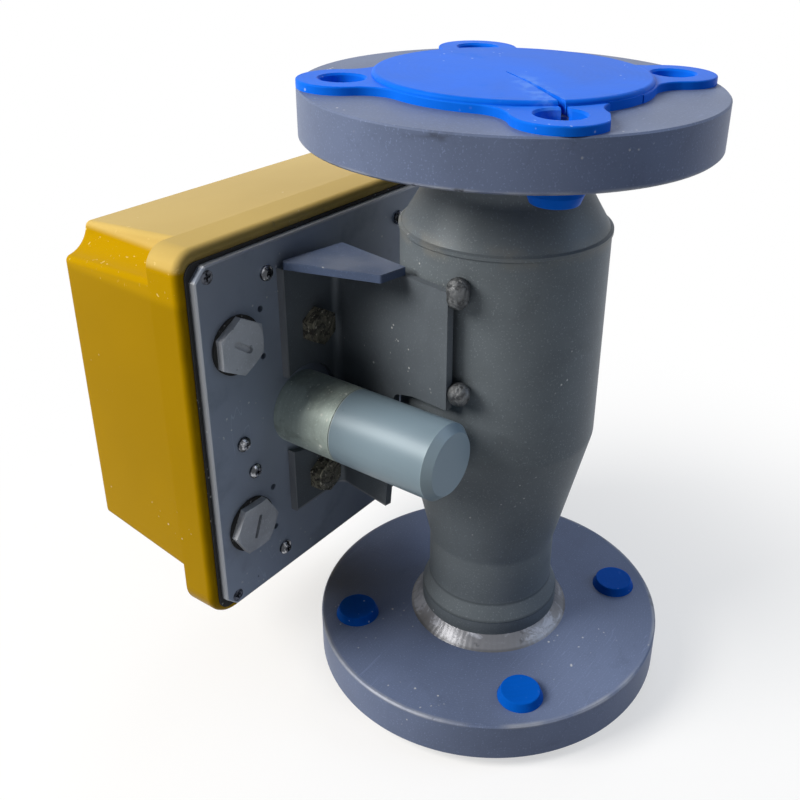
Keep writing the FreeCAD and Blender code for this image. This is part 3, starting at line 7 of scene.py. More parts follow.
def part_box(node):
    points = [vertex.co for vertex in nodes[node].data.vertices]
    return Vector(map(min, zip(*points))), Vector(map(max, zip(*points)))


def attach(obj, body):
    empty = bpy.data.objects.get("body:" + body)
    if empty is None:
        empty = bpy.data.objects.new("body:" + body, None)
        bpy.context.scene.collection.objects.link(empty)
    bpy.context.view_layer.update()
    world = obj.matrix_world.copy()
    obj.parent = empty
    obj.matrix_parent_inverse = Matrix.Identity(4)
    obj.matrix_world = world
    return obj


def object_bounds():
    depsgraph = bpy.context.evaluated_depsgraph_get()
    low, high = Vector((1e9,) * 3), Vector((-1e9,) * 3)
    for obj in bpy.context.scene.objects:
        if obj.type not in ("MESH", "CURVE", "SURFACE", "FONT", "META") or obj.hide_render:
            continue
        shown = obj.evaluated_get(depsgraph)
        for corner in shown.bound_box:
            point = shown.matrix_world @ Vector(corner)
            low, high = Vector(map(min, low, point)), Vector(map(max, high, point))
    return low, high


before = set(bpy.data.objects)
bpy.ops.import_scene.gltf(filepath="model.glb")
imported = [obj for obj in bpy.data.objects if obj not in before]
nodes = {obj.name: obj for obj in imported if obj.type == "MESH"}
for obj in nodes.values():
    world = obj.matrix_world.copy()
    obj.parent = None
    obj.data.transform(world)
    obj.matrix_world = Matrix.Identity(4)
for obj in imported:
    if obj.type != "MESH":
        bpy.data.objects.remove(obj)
cad_low, cad_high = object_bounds()

# Camera: where it stands round the tube's axis, in metres, and how it looks, in degrees
CAMERA_DISTANCE = 0.35383
CAMERA_HEIGHT = 0.32428
CAMERA_BEARING = 30.75
CAMERA_YAW = -2.9
CAMERA_PITCH = -26.58
CAMERA_ROLL = 1.4
CAMERA_LENS = 43.93
CAMERA_SENSOR = 36.0
CAMERA_SHIFT = (-0.0693, -0.0576)
CAMERA_RANGE = (0.01, 20.0)

# Places on the part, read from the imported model
PLATE_LOW, PLATE_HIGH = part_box("base_plate")
PLATE_MID = (PLATE_LOW + PLATE_HIGH) / 2
PLATE_HALF = (PLATE_HIGH - PLATE_LOW) / 2
SLEEVE_LOW, SLEEVE_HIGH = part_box("sleeve")
PIVOT_X = (SLEEVE_LOW.x + SLEEVE_HIGH.x) / 2
PIVOT_Z = (SLEEVE_LOW.z + SLEEVE_HIGH.z) / 2
CAP_LOW, CAP_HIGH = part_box("sleeve_cap")
DIAL_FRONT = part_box("dial_plate")[0].y
HOOD_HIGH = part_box("hood")[1]
LOWER_LOW, LOWER_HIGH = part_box("lower_flange")
UPPER_LOW, UPPER_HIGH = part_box("upper_flange")
FLANGE_R = UPPER_HIGH.x
SHOULDER_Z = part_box("metering_body")[1].z
COLLAR_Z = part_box("lower_collar")[1].z
FLARE_LENGTH = 0.0073
FLARE_Z = COLLAR_Z + FLARE_LENGTH
BRACKET_LOW, BRACKET_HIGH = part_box("mounting_bracket")
GUSSET_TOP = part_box("bracket_gusset")[1].z
PLUG_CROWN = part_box("cable_plug_upper")[1].y
TEAR_ANGLE = 45.0

# Marks and the painted reflection on the hood, in metres from its top, its +X side and the plate's face
CHANNEL_DROP = 0.011
CHANNEL_HALF = 0.006
CHANNEL_SOFT = 0.004
CHANNEL_IN = (0.020, 0.012)
REFLECTION_DROP = (0.0078, 0.0052)
RIM_AHEAD = (0.0075, 0.0048)

# Scuffs on the plate, as lines from its middle, with their half width
SCUFFS = (
    ((-0.0310, -0.0585), (-0.0175, -0.0617), 0.0011),
    ((-0.0295, -0.0560), (-0.0225, -0.0600), 0.0007),
)

# Printed scale of the dial, in metres and degrees
SCALE_R = 0.0545
SCALE_LINE_HALF = 0.00012
SCALE_LINE_END = -0.038
TICK_LENGTH = 0.0034
TICK_WIDTH = 0.0006
TICK_HEIGHT = 0.0001
TICK_COUNT = 51
TICK_SINK = 0.4
NUMBER_R = 0.0445
NUMBER_SIZE = 0.0062
NUMBER_COUNT = 6
NUMBER_STEP = 20
SWING = 90.0

# Lamps: name, place, side of the square, power and tint
LAMPS = (
    ("key", (1.05, -0.8, 1.1), 0.8, 37.0, (1.0, 0.96, 0.90)),
    ("back", (-0.9, -0.4, 1.3), 0.9, 4.0, (0.90, 0.95, 1.0)),
    ("fill", (-0.85, 1.2, 1.1), 1.0, 9.0, (0.62, 0.77, 1.0)),
)
ROOM_TINT = (0.80, 0.88, 1.0, 1.0)
ROOM_LIGHT = 0.07
WHITE = (1.0, 1.0, 1.0, 1.0)

# Floor: half its side, how far it lies under the part, its tones and where its shadow fades out
FLOOR_HALF = 8.0
FLOOR_DROP = 0.0002
FLOOR_SEEN = (0.93, 0.93, 0.93)
FLOOR_UNSEEN = (0.35, 0.35, 0.35)
SHADOW_FADE = (0.07, 0.34)
SHADOW_LIFT = 0.58


def tone(red, green, blue):
    """Linear colour from display values in 0..255."""
    shades = []
    for value in (red, green, blue):
        share = value / 255
        shades.append(share / 12.92 if share <= 0.04045 else ((share + 0.055) / 1.055) ** 2.4)
    return tuple(shades)


def scaled(color, factor):
    return tuple(min(1.0, channel * factor) for channel in color)


# Base colours of the finishes
TUBE_STEEL = tone(103, 111, 117)
# painted reflection: the flange steel is tinted blue for the cool light it reflects
FLANGE_STEEL_WITH_BLUE_REFLECTION = tone(98, 110, 138)
WELD_METAL = tone(112, 114, 120)
BRACKET_STEEL = tone(90, 97, 104)
GUSSET_STEEL = tone(76, 90, 118)
PLATE_COAT = tone(140, 150, 167)
HOOD_YELLOW = tone(160, 125, 1)
UPPER_COVER_BLUE = tone(12, 102, 222)
LOWER_COVER_BLUE = tone(4, 84, 184)
SLEEVE_METAL = tone(160, 173, 168)
CAP_COAT = tone(118, 137, 149)
PLUG_METAL = tone(160, 165, 173)
RUBBER = tone(20, 21, 23)
ENAMEL = tone(232, 232, 226)
INK = tone(26, 26, 28)

# Colours of dust, dirt and bare metal on them, and of painted edge highlights
DUST = tone(206, 207, 207)
PALE_DUST = tone(222, 226, 220)
PIT = tone(37, 37, 39)
SMUDGE = tone(46, 47, 51)
# bare metal on the plate's edge; painted highlight on the bracket and gusset edges
BARE_EDGE_AND_HIGHLIGHT = tone(148, 151, 156)
# painted highlight for edges that catch the light
EDGE_HIGHLIGHT = tone(176, 178, 182)

# Tint of the gloss on coloured paint and plastic
YELLOW_GLOSS = (1.0, 0.8, 0.02)
BLUE_GLOSS = (0.05, 0.35, 1.0)


class Number:
    """A number that varies over a surface; an expression on it adds Math nodes."""

    def __init__(self, paint, socket):
        self.paint = paint
        self.socket = socket

    def maths(self, operation, *values):
        node = self.paint.node("ShaderNodeMath", {"operation": operation}, values)
        return Number(self.paint, node.outputs[0])

    def __add__(self, other):
        return self.maths("ADD", self, other)

    def __radd__(self, other):
        return self.maths("ADD", other, self)

    def __sub__(self, other):
        return self.maths("SUBTRACT", self, other)

    def __rsub__(self, other):
        return self.maths("SUBTRACT", other, self)

    def __mul__(self, other):
        return self.maths("MULTIPLY", self, other)

    def __rmul__(self, other):
        return self.maths("MULTIPLY", other, self)

    def size(self):
        return self.maths("ABSOLUTE", self)

    def root(self):
        return self.maths("SQRT", self)

    def wave(self):
        """Sine of the number, moved into 0..1."""
        return self.maths("SINE", self) * 0.5 + 0.5

    def most(self, other):
        return self.maths("MAXIMUM", self, other)

    def rise(self, low, high):
        """0 at low, 1 at high, smooth between; low may be above high."""
        node = self.paint.node(
            "ShaderNodeMapRange", {"interpolation_type": "SMOOTHSTEP"},
            {"Value": self, "From Min": low, "From Max": high, "To Min": 0.0, "To Max": 1.0})
        return Number(self.paint, node.outputs[0])

    def near(self, centre, half, soft):
        """1 within half of centre, 0 beyond half plus soft."""
        return (self - centre).size().rise(half + soft, half)


def feed(tree, socket, value):
    """Links a socket to a number or an output, or sets its plain value."""
    if isinstance(value, Number):
        value = value.socket
    if isinstance(value, bpy.types.NodeSocket):
        tree.links.new(value, socket)
    else:
        socket.default_value = value


def add_node(tree, kind, settings=None, values=()):
    """New node with its settings, then the values or links of its sockets, by name or in order."""
    node = tree.nodes.new(kind)
    for key, value in (settings or {}).items():
        setattr(node, key, value)
    pairs = values.items() if isinstance(values, dict) else enumerate(values)
    for key, value in pairs:
        feed(tree, node.inputs[key], value)
    return node


class Paint:
    """A material: one Principled shader, fed by expressions on the object's own coordinates."""

    def __init__(self, name, color, rough, metal=0.0, specular=0.5, tint=(1.0, 1.0, 1.0)):
        self.material = bpy.data.materials.new(name)
        self.material.use_nodes = True
        self.material.diffuse_color = (*color, 1.0)
        self.tree = self.material.node_tree
        self.shader = self.tree.nodes["Principled BSDF"]
        self.shader.inputs["Base Color"].default_value = (*color, 1.0)
        self.shader.inputs["Roughness"].default_value = rough
        self.shader.inputs["Metallic"].default_value = metal
        self.shader.inputs["Specular IOR Level"].default_value = specular
        self.shader.inputs["Specular Tint"].default_value = (*tint, 1.0)
        self.place = self.node("ShaderNodeTexCoord").outputs["Object"]
        parts = self.node("ShaderNodeSeparateXYZ", {}, [self.place])
        self.x, self.y, self.z = [Number(self, socket) for socket in parts.outputs]

    def node(self, kind, settings=None, values=()):
        return add_node(self.tree, kind, settings, values)

    def stretched(self, scale, turn=(0.0, 0.0, 0.0)):
        """Object coordinates turned and scaled, for a pattern that runs one way."""
        return self.node("ShaderNodeMapping", {}, {
            "Vector": self.place, "Rotation": turn, "Scale": scale}).outputs[0]

    def noise(self, scale, detail=2.0, rough=0.5, where=None, warp=0.0):
        node = self.node("ShaderNodeTexNoise", {}, {
            "Vector": where or self.place, "Scale": scale, "Detail": detail,
            "Roughness": rough, "Distortion": warp})
        return Number(self, node.outputs[0])

    def cells(self, scale):
        node = self.node("ShaderNodeTexVoronoi", {}, {"Vector": self.place, "Scale": scale})
        return Number(self, node.outputs["Distance"])

    def specks(self, scale, size, patch, share):
        """Small scattered grains; patch is the scale of where they gather, share how much they cover."""
        grains = self.cells(scale).rise(size, size * 0.4)
        where = self.noise(patch, 3.0).rise(0.64 - share, 0.70 - share)
        pick = self.noise(scale * 0.73, 0.0).rise(0.56, 0.66)
        return grains * where * pick

    def radius(self):
        """Distance from the tube's axis."""
        return (self.x * self.x + self.y * self.y).root()

    def bearing(self):
        """Angle about the tube's axis, in radians."""
        return self.y.maths("ARCTAN2", self.y, self.x)

    def stroke(self, u, v, start, end, half):
        """1 along a straight line between two points of the plane of u and v."""
        length = math.hypot(end[0] - start[0], end[1] - start[1])
        along = ((end[0] - start[0]) / length, (end[1] - start[1]) / length)
        du = u - start[0]
        dv = v - start[1]
        run = du * along[0] + dv * along[1]
        side = (du * along[1] - dv * along[0]).size()
        return side.rise(half, half * 0.3) * run.near(length / 2, length / 2, length * 0.12)

    def mix(self, share, first, second):
        """Colour that goes from the first to the second as share goes from 0 to 1."""
        first, second = [
            color if isinstance(color, bpy.types.NodeSocket) else (*color, 1.0) for color in (first, second)]
        # A Mix node set to colour has its share at socket 0, its colours at 6 and 7, its result at 2
        return self.node("ShaderNodeMix", {"data_type": "RGBA"}, {0: share, 6: first, 7: second}).outputs[2]

    def color(self, value):
        feed(self.tree, self.shader.inputs["Base Color"], value)

    def rough(self, value):
        feed(self.tree, self.shader.inputs["Roughness"], value)

    def metal(self, value):
        feed(self.tree, self.shader.inputs["Metallic"], value)

    def relief(self, height, depth, strength=1.0):
        """Bumps from a height in 0..1 that stand out by depth metres."""
        bump = self.node("ShaderNodeBump", {}, {"Height": height, "Distance": depth, "Strength": strength})
        feed(self.tree, self.shader.inputs["Normal"], bump.outputs[0])

    def put_on(self, *names):
        """Gives CAD nodes this finish."""
        for name in names:
            mesh = nodes[name].data
            mesh.materials.clear()
            mesh.materials.append(self.material)


def satin(paint, color, sparkle=0.5, cloud_scale=16.0):
    """Blasted steel under a thin satin coat: cloudy tone, fine grain, and metal flakes painted bright as glints."""
    cloud = paint.noise(cloud_scale, 4.0, 0.55)
    grain = paint.noise(1100.0, 2.0)
    # metal flakes with painted glints: sparse spots lightened as if they catch the light
    flake_glints = paint.noise(1400.0, 1.0).rise(0.60, 0.74)
    stain = paint.noise(55.0, 5.0, 0.65, warp=0.6).rise(0.56, 0.72)
    body = paint.mix(cloud.rise(0.32, 0.68), scaled(color, 0.86), scaled(color, 1.12))
    body = paint.mix(stain * 0.35, body, scaled(color, 0.7))
    body = paint.mix(flake_glints * sparkle, body, scaled(color, 1.75))
    return body, cloud, grain


def mottled(name, shades, turn, pattern, rough, metal=0.0, bump=(0.0001, 0.5)):
    """Finish whose tone, gloss and bumps follow one pattern.

    shades are its two colours and turn is where the pattern goes from one to the other. pattern is the
    noise's scale, detail and roughness, and rough the least roughness and how much the pattern adds.
    """
    least, spread = rough
    paint = Paint(name, shades[0], least + spread / 2, metal)
    grit = paint.noise(*pattern)
    paint.color(paint.mix(grit.rise(*turn), *shades))
    paint.rough(least + grit * spread)
    paint.relief(grit, *bump)
    return paint


def turned(name, along):
    """Bright steel off the lathe, with fine rings across the named axis."""
    paint = Paint(name, tone(166, 168, 172), 0.25, 1.0)
    rings = (getattr(paint, along) * 9000.0 + paint.noise(40.0) * 4.0).wave()
    paint.color(paint.mix(rings * 0.32, tone(146, 148, 153), tone(188, 190, 194)))
    paint.rough(0.2 + paint.noise(60.0, 3.0) * 0.15)
    paint.relief(rings, 0.00002, 0.5)
    return paint


def make_tube():
    """Satin steel of tube, reducer and collar, with painted shade in the seams and towards the lower flange, a
    painted warm highlight at the shoulder, dust and dark specks.
    """
    paint = Paint("tube_steel", TUBE_STEEL, 0.42, 0.1, 0.12)
    body, cloud, grain = satin(paint, TUBE_STEEL, 0.55)
    rings = paint.noise(1.0, 2.0, 0.5, paint.stretched((9.0, 9.0, 620.0))).rise(0.4, 0.62)
    body = paint.mix(rings * 0.04, body, scaled(TUBE_STEEL, 1.35))
    # painted shade in the grooves at the collar and at the top of the flare
    seam = paint.z.near(COLLAR_Z, 0.0003, 0.0006).most(paint.z.near(FLARE_Z, 0.0002, 0.0006))
    body = paint.mix(seam * 0.55, body, scaled(TUBE_STEEL, 0.45))
    # painted warm highlight along the shoulder, with a heat tint in it
    glow = paint.z.near(SHOULDER_Z, 0.0012, 0.004) * paint.noise(70.0, 3.0).rise(0.35, 0.6)
    body = paint.mix(glow * 0.25, body, tone(150, 142, 124))
    # painted shade darkening the tube towards the lower flange
    foot_shade = paint.z.rise(COLLAR_Z - 0.001, LOWER_HIGH.z + 0.006)
    body = paint.mix(foot_shade * 0.35, body, scaled(TUBE_STEEL, 0.5))
    dust = paint.specks(420.0, 0.24, 30.0, 0.05)
    pits = paint.specks(300.0, 0.2, 24.0, 0.03)
    body = paint.mix(pits * 0.7, body, PIT)
    paint.color(paint.mix(dust * 0.8, body, DUST))
    paint.rough(0.36 + cloud * 0.1 + grain * 0.08 + dust * 0.2)
    paint.metal(0.1 - dust * 0.1)
    paint.relief(grain * 0.6 + rings * 0.05 - pits * 1.5, 0.00010, 0.5)
    paint.put_on("metering_body", "upper_reducer", "lower_collar", "shoulder_weld")


def make_flanges():
    """Blasted flanges tinted blue as a painted reflection, with faint turning rings, nicked rim edges with painted
    highlights, and dark smudges.
    """
    for name, low, high in (("lower_flange", LOWER_LOW.z, LOWER_HIGH.z), ("upper_flange", UPPER_LOW.z, UPPER_HIGH.z)):
        paint = Paint(name + "_steel", FLANGE_STEEL_WITH_BLUE_REFLECTION, 0.42, 0.1, 0.12)
        body, cloud, grain = satin(paint, FLANGE_STEEL_WITH_BLUE_REFLECTION, 0.4, 12.0)
        reach = paint.radius()
        turning = (reach * 5200.0 + paint.noise(60.0) * 3.0).wave()
        face = reach.rise(FLANGE_R - 0.0005, FLANGE_R - 0.002)
        body = paint.mix(turning * face * 0.07, body, scaled(FLANGE_STEEL_WITH_BLUE_REFLECTION, 1.5))
        edges = paint.z.near(low, 0.0004, 0.0012).most(paint.z.near(high, 0.0004, 0.0012))
        rim = reach.rise(FLANGE_R - 0.0022, FLANGE_R - 0.0006)
        nick = edges * rim * paint.noise(140.0, 4.0, 0.6).rise(0.6, 0.7)
        # painted highlight along the rim edges
        rim_highlight = edges * rim * paint.noise(40.0, 3.0).rise(0.35, 0.6)
        body = paint.mix(rim_highlight * 0.5, body, EDGE_HIGHLIGHT)
        body = paint.mix(nick * 0.75, body, PIT)
        smear = paint.noise(34.0, 4.0, 0.6, paint.stretched((1.0, 1.0, 3.0))).rise(0.62, 0.74)
        smear = smear * paint.z.near(high, 0.002, 0.006) * rim
        body = paint.mix(smear * 0.55, body, SMUDGE)
        dust = paint.specks(380.0, 0.25, 26.0, 0.06)
        body = paint.mix(dust * 0.75, body, DUST)
        scratch = paint.noise(6.0, 2.0, 0.5, paint.stretched((1.0, 46.0, 1.0), (0.0, 0.0, 0.6)))
        scratch = scratch.near(0.5, 0.002, 0.004) * paint.noise(18.0).rise(0.52, 0.62) * face
        paint.color(paint.mix(scratch * 0.3, body, scaled(FLANGE_STEEL_WITH_BLUE_REFLECTION, 1.8)))
        paint.rough(0.34 + cloud * 0.12 + grain * 0.08)
        paint.metal(0.1 - dust * 0.1)
        paint.relief(grain * 0.55 + turning * face * 0.12 - nick * 2.0, 0.00010, 0.5)
        paint.put_on(name)


def make_welds():
    """Rippled weld metal with pale rough patches and dark crevices, and the two crusted tack welds."""
    ring = Paint("weld_bead", WELD_METAL, 0.4, 0.45, 0.35)
    ripple = (ring.bearing() * 84.0 + ring.noise(90.0, 3.0) * 7.0).wave()
    rough_patch = ring.noise(70.0, 6.0, 0.7, warp=0.8).rise(0.5, 0.64)
    crevice = ring.noise(240.0, 3.0).rise(0.62, 0.7)
    # painted shade where the weld meets the flange's face
    foot_shade = ring.z.near(LOWER_HIGH.z, 0.0003, 0.0007)
    body = ring.mix(ripple * 0.15, scaled(WELD_METAL, 0.95), scaled(WELD_METAL, 1.2))
    body = ring.mix(rough_patch * 0.55, body, tone(176, 180, 192))
    body = ring.mix(crevice * 0.5, body, SMUDGE)
    ring.color(ring.mix(foot_shade * 0.5, body, tone(60, 61, 66)))
    ring.rough(0.34 + rough_patch * 0.2)
    ring.relief(ripple * 0.16 + rough_patch * 0.5 + ring.noise(900.0, 3.0) * 0.25, 0.00028, 0.6)
    ring.put_on("lower_flange_welds", "upper_flange_welds")

    tack = Paint("tack_weld", tone(72, 75, 78), 0.5, 0.55)
    lumps = tack.noise(240.0, 5.0, 0.65, warp=1.2)
    crust = tack.noise(520.0, 3.0).rise(0.5, 0.68)
    skin = tack.mix(lumps.rise(0.35, 0.65), tone(48, 50, 53), tone(96, 99, 102))
    tack.color(tack.mix(crust * 0.25, skin, tone(140, 143, 146)))
    tack.rough(0.38 + crust * 0.25)
    tack.relief(lumps, 0.0012, 0.9)
    tack.put_on("bracket_welds")


def make_bracket():
    """Dark satin sheet of bracket and gusset, with painted highlights on the sheet edges, smears and dust."""
    sheet = Paint("bracket_sheet", BRACKET_STEEL, 0.45, 0.12, 0.2)
    body, cloud, grain = satin(sheet, BRACKET_STEEL, 0.35, 20.0)
    smear = sheet.noise(30.0, 4.0, 0.6, sheet.stretched((1.0, 1.0, 0.3)), 0.7).rise(0.5, 0.7)
    body = sheet.mix(smear * 0.3, body, scaled(BRACKET_STEEL, 1.35))
    # painted highlight along the outer and lower edges of the bracket
    sheet_edge_highlight = sheet.x.near(BRACKET_HIGH.x, 0.0005, 0.0004).most(sheet.z.near(BRACKET_LOW.z, 0.0005, 0.0005))
    body = sheet.mix(sheet_edge_highlight * 0.6, body, BARE_EDGE_AND_HIGHLIGHT)
    dust = sheet.specks(420.0, 0.26, 40.0, 0.1)
    sheet.color(sheet.mix(dust * 0.8, body, DUST))
    sheet.rough(0.4 + cloud * 0.12 + smear * 0.08)
    sheet.metal(0.12 - dust * 0.12)
    sheet.relief(grain, 0.00006, 0.4)
    sheet.put_on("mounting_bracket")

    gusset = Paint("gusset_sheet", GUSSET_STEEL, 0.45, 0.12, 0.2)
    body, cloud, grain = satin(gusset, GUSSET_STEEL, 0.35, 24.0)
    # painted highlight along the gusset's top edge
    edge = gusset.z.rise(GUSSET_TOP - 0.0007, GUSSET_TOP - 0.0002) * gusset.noise(50.0, 2.0).rise(0.3, 0.6)
    body = gusset.mix(edge * 0.2, body, BARE_EDGE_AND_HIGHLIGHT)
    gusset.color(gusset.mix(gusset.specks(420.0, 0.25, 40.0, 0.08) * 0.8, body, DUST))
    gusset.rough(0.4 + cloud * 0.12)
    gusset.relief(grain, 0.00006, 0.4)
    gusset.put_on("bracket_gusset")


def make_plate():
    """Blue-grey satin plate: bare bright edge, soft clouds, a scuff, hairlines and tiny marks."""
    paint = Paint("plate_satin", PLATE_COAT, 0.42, 0.12, 0.2)
    cloud = paint.noise(9.0, 4.0, 0.5, warp=0.5)
    u = paint.x - PLATE_MID.x
    w = paint.z - PLATE_MID.z
    body = paint.mix(cloud.rise(0.3, 0.7), scaled(PLATE_COAT, 0.82), scaled(PLATE_COAT, 1.2))
    body = paint.mix(paint.noise(34.0, 5.0, 0.6).rise(0.52, 0.7) * 0.25, body, tone(70, 80, 78))
    edge = u.size().rise(PLATE_HALF.x - 0.0009, PLATE_HALF.x - 0.0003)
    edge = edge.most(w.size().rise(PLATE_HALF.z - 0.0009, PLATE_HALF.z - 0.0003))
    body = paint.mix(edge * 0.75, body, BARE_EDGE_AND_HIGHLIGHT)
    long_scuff, short_scuff = [paint.stroke(u, w, *line) for line in SCUFFS]
    scuff = long_scuff.most(short_scuff) * paint.noise(420.0, 3.0).rise(0.42, 0.52)
    body = paint.mix(scuff * 0.85, body, tone(190, 192, 190))
    hair = paint.noise(5.0, 1.0, 0.5, paint.stretched((30.0, 1.0, 4.0), (0.0, 0.7, 0.0))).near(0.5, 0.001, 0.003)
    hair = hair * paint.noise(22.0).rise(0.55, 0.62)
    body = paint.mix(hair * 0.25, body, scaled(PLATE_COAT, 1.9))
    dust = paint.specks(430.0, 0.25, 40.0, 0.1)
    body = paint.mix(paint.specks(260.0, 0.2, 20.0, 0.08) * 0.7, body, tone(20, 21, 24))
    paint.color(paint.mix(dust * 0.75, body, DUST))
    paint.rough(0.38 + cloud * 0.14 - edge * 0.08)
    paint.metal(0.12 + edge * 0.4 - dust * 0.12)
    paint.relief(paint.noise(1300.0, 2.0) * 0.5 - scuff * 0.8, 0.00005, 0.4)
    paint.put_on("base_plate")


def make_hood():
    """Yellow paint with orange peel, a painted pale reflection on top, chips in the upper channels, nicks and painted
    shade on the rim.
    """
    paint = Paint("hood_yellow_gloss", HOOD_YELLOW, 0.2, 0.0, 0.02, YELLOW_GLOSS)
    cloud = paint.noise(10.0, 3.0)
    body = paint.mix(cloud.rise(0.3, 0.7), scaled(HOOD_YELLOW, 0.93), scaled(HOOD_YELLOW, 1.05))
    channel = paint.z.near(HOOD_HIGH.z - CHANNEL_DROP, CHANNEL_HALF, CHANNEL_SOFT)
    channel = channel * paint.x.rise(*[HOOD_HIGH.x - inward for inward in CHANNEL_IN])
    body = paint.mix(channel * 0.6, body, scaled(HOOD_YELLOW, 1.4))
    chips = channel * paint.noise(420.0, 3.0, 0.6).rise(0.64, 0.72)
    body = paint.mix(chips * 0.6, body, tone(226, 200, 120))
    rim = paint.y.rise(*[PLATE_HIGH.y - ahead for ahead in RIM_AHEAD])
    nicks = rim * paint.specks(210.0, 0.3, 26.0, 0.1)
    body = paint.mix(nicks * 0.8, body, tone(70, 58, 30))
    # painted shade along the rounded rim next to the plate
    body = paint.mix(rim * paint.noise(60.0, 3.0).rise(0.4, 0.7) * 0.25, body, tone(120, 92, 0))
    # painted pale reflection on the top face
    top_reflection = paint.z.rise(*[HOOD_HIGH.z - drop for drop in REFLECTION_DROP]) * (cloud * 0.3 + 0.3)
    body = paint.mix(top_reflection, body, tone(224, 202, 140))
    dust = paint.specks(400.0, 0.22, 30.0, 0.06)
    paint.color(paint.mix(dust * 0.6, body, tone(235, 225, 190)))
    paint.rough(0.18 + cloud * 0.08 + chips * 0.2)
    paint.relief(paint.noise(260.0, 2.0) * 0.3 - chips * 0.8 - nicks * 2.0, 0.00012, 0.45)
    paint.put_on("hood")


def tear_whitening(paint):
    """1 in the stretched plastic beside the tear of the upper protector."""
    turn = math.radians(TEAR_ANGLE)
    along = paint.x * math.cos(turn) + paint.y * math.sin(turn)
    side = (paint.y * math.cos(turn) - paint.x * math.sin(turn)).size()
    stress = side.rise(0.0075, 0.0012) * along.rise(0.0, 0.02) * along.rise(0.062, 0.05)
    return stress * paint.noise(200.0, 4.0).rise(0.42, 0.62)


def make_covers():
    """Blue moulded protectors: soft gloss, faint flow marks, whitening by the tear, dust."""
    for name, color in (("flange_cover_top", UPPER_COVER_BLUE), ("flange_cover_bottom", LOWER_COVER_BLUE)):
        paint = Paint(name + "_blue", color, 0.42, 0.0, 0.07, BLUE_GLOSS)
        flow = paint.noise(14.0, 4.0, 0.5, warp=1.0)
        rings = (paint.radius() * 2600.0 + flow * 5.0).wave()
        body = paint.mix(flow.rise(0.3, 0.7), scaled(color, 0.9), scaled(color, 1.1))
        body = paint.mix(rings * 0.05, body, scaled(color, 1.5))
        if name == "flange_cover_top":
            body = paint.mix(tear_whitening(paint) * 0.3, body, tone(120, 170, 240))
        dust = paint.specks(380.0, 0.26, 26.0, 0.1)
        body = paint.mix(dust * 0.75, body, tone(190, 210, 240))
        scuff = paint.noise(80.0, 5.0, 0.7, warp=0.6).rise(0.6, 0.7)
        paint.color(paint.mix(scuff * 0.1, body, tone(110, 160, 235)))
        paint.rough(0.38 + flow * 0.12 + scuff * 0.1)
        paint.relief(paint.noise(120.0, 3.0) + rings * 0.05, 0.00025, 0.3)
        paint.put_on(name)


def make_sleeve_and_cap():
    """Bare greenish sleeve with dust and scuffs; pale satin cap with a bright seam at its mouth."""
    sleeve = Paint("sleeve_bare", SLEEVE_METAL, 0.4, 0.25, 0.25)
    body, cloud, grain = satin(sleeve, SLEEVE_METAL, 0.35, 26.0)
    rings = sleeve.noise(1.0, 1.0, 0.5, sleeve.stretched((6.0, 900.0, 6.0))).rise(0.4, 0.6)
    body = sleeve.mix(rings * 0.15, body, scaled(SLEEVE_METAL, 1.4))
    grime = sleeve.noise(90.0, 5.0, 0.65, warp=0.8).rise(0.5, 0.66)
    body = sleeve.mix(grime * 0.3, body, tone(84, 92, 80))
    dust = sleeve.specks(300.0, 0.32, 60.0, 0.2).most(sleeve.specks(620.0, 0.3, 50.0, 0.2) * 0.7)
    body = sleeve.mix(dust * 0.85, body, PALE_DUST)
    mouth = sleeve.y.rise(SLEEVE_HIGH.y - 0.0015, SLEEVE_HIGH.y - 0.0005)
    sleeve.color(sleeve.mix(mouth * 0.3, body, tone(170, 174, 168)))
    sleeve.rough(0.4 + cloud * 0.14 + dust * 0.2)
    sleeve.metal(0.25 - dust * 0.25)
    sleeve.relief(grain * 0.5 + rings * 0.2 + dust * 0.5, 0.00008, 0.5)
    sleeve.put_on("sleeve")

    cap = Paint("cap_satin", CAP_COAT, 0.4, 0.05, 0.25)
    soft = cap.noise(14.0, 3.0)
    skin = cap.mix(soft.rise(0.3, 0.7), scaled(CAP_COAT, 0.94), scaled(CAP_COAT, 1.07))
    seam = cap.y.near(CAP_LOW.y, 0.0002, 0.0006)
    skin = cap.mix(seam * 0.6, skin, tone(196, 204, 204))
    chamfer = cap.y.rise(CAP_HIGH.y - 0.0036, CAP_HIGH.y - 0.003)
    skin = cap.mix(chamfer * 0.14, skin, tone(190, 206, 212))
    skin = cap.mix(cap.specks(300.0, 0.22, 30.0, 0.04) * 0.7, skin, SMUDGE)
    wipe = cap.noise(9.0, 3.0, 0.5, cap.stretched((3.0, 0.6, 3.0)), 0.8).rise(0.5, 0.7)
    cap.color(cap.mix(wipe * 0.12, skin, tone(160, 178, 184)))
    cap.rough(0.34 + soft * 0.12)
    cap.relief(cap.noise(700.0, 2.0), 0.00004, 0.35)
    cap.put_on("sleeve_cap")


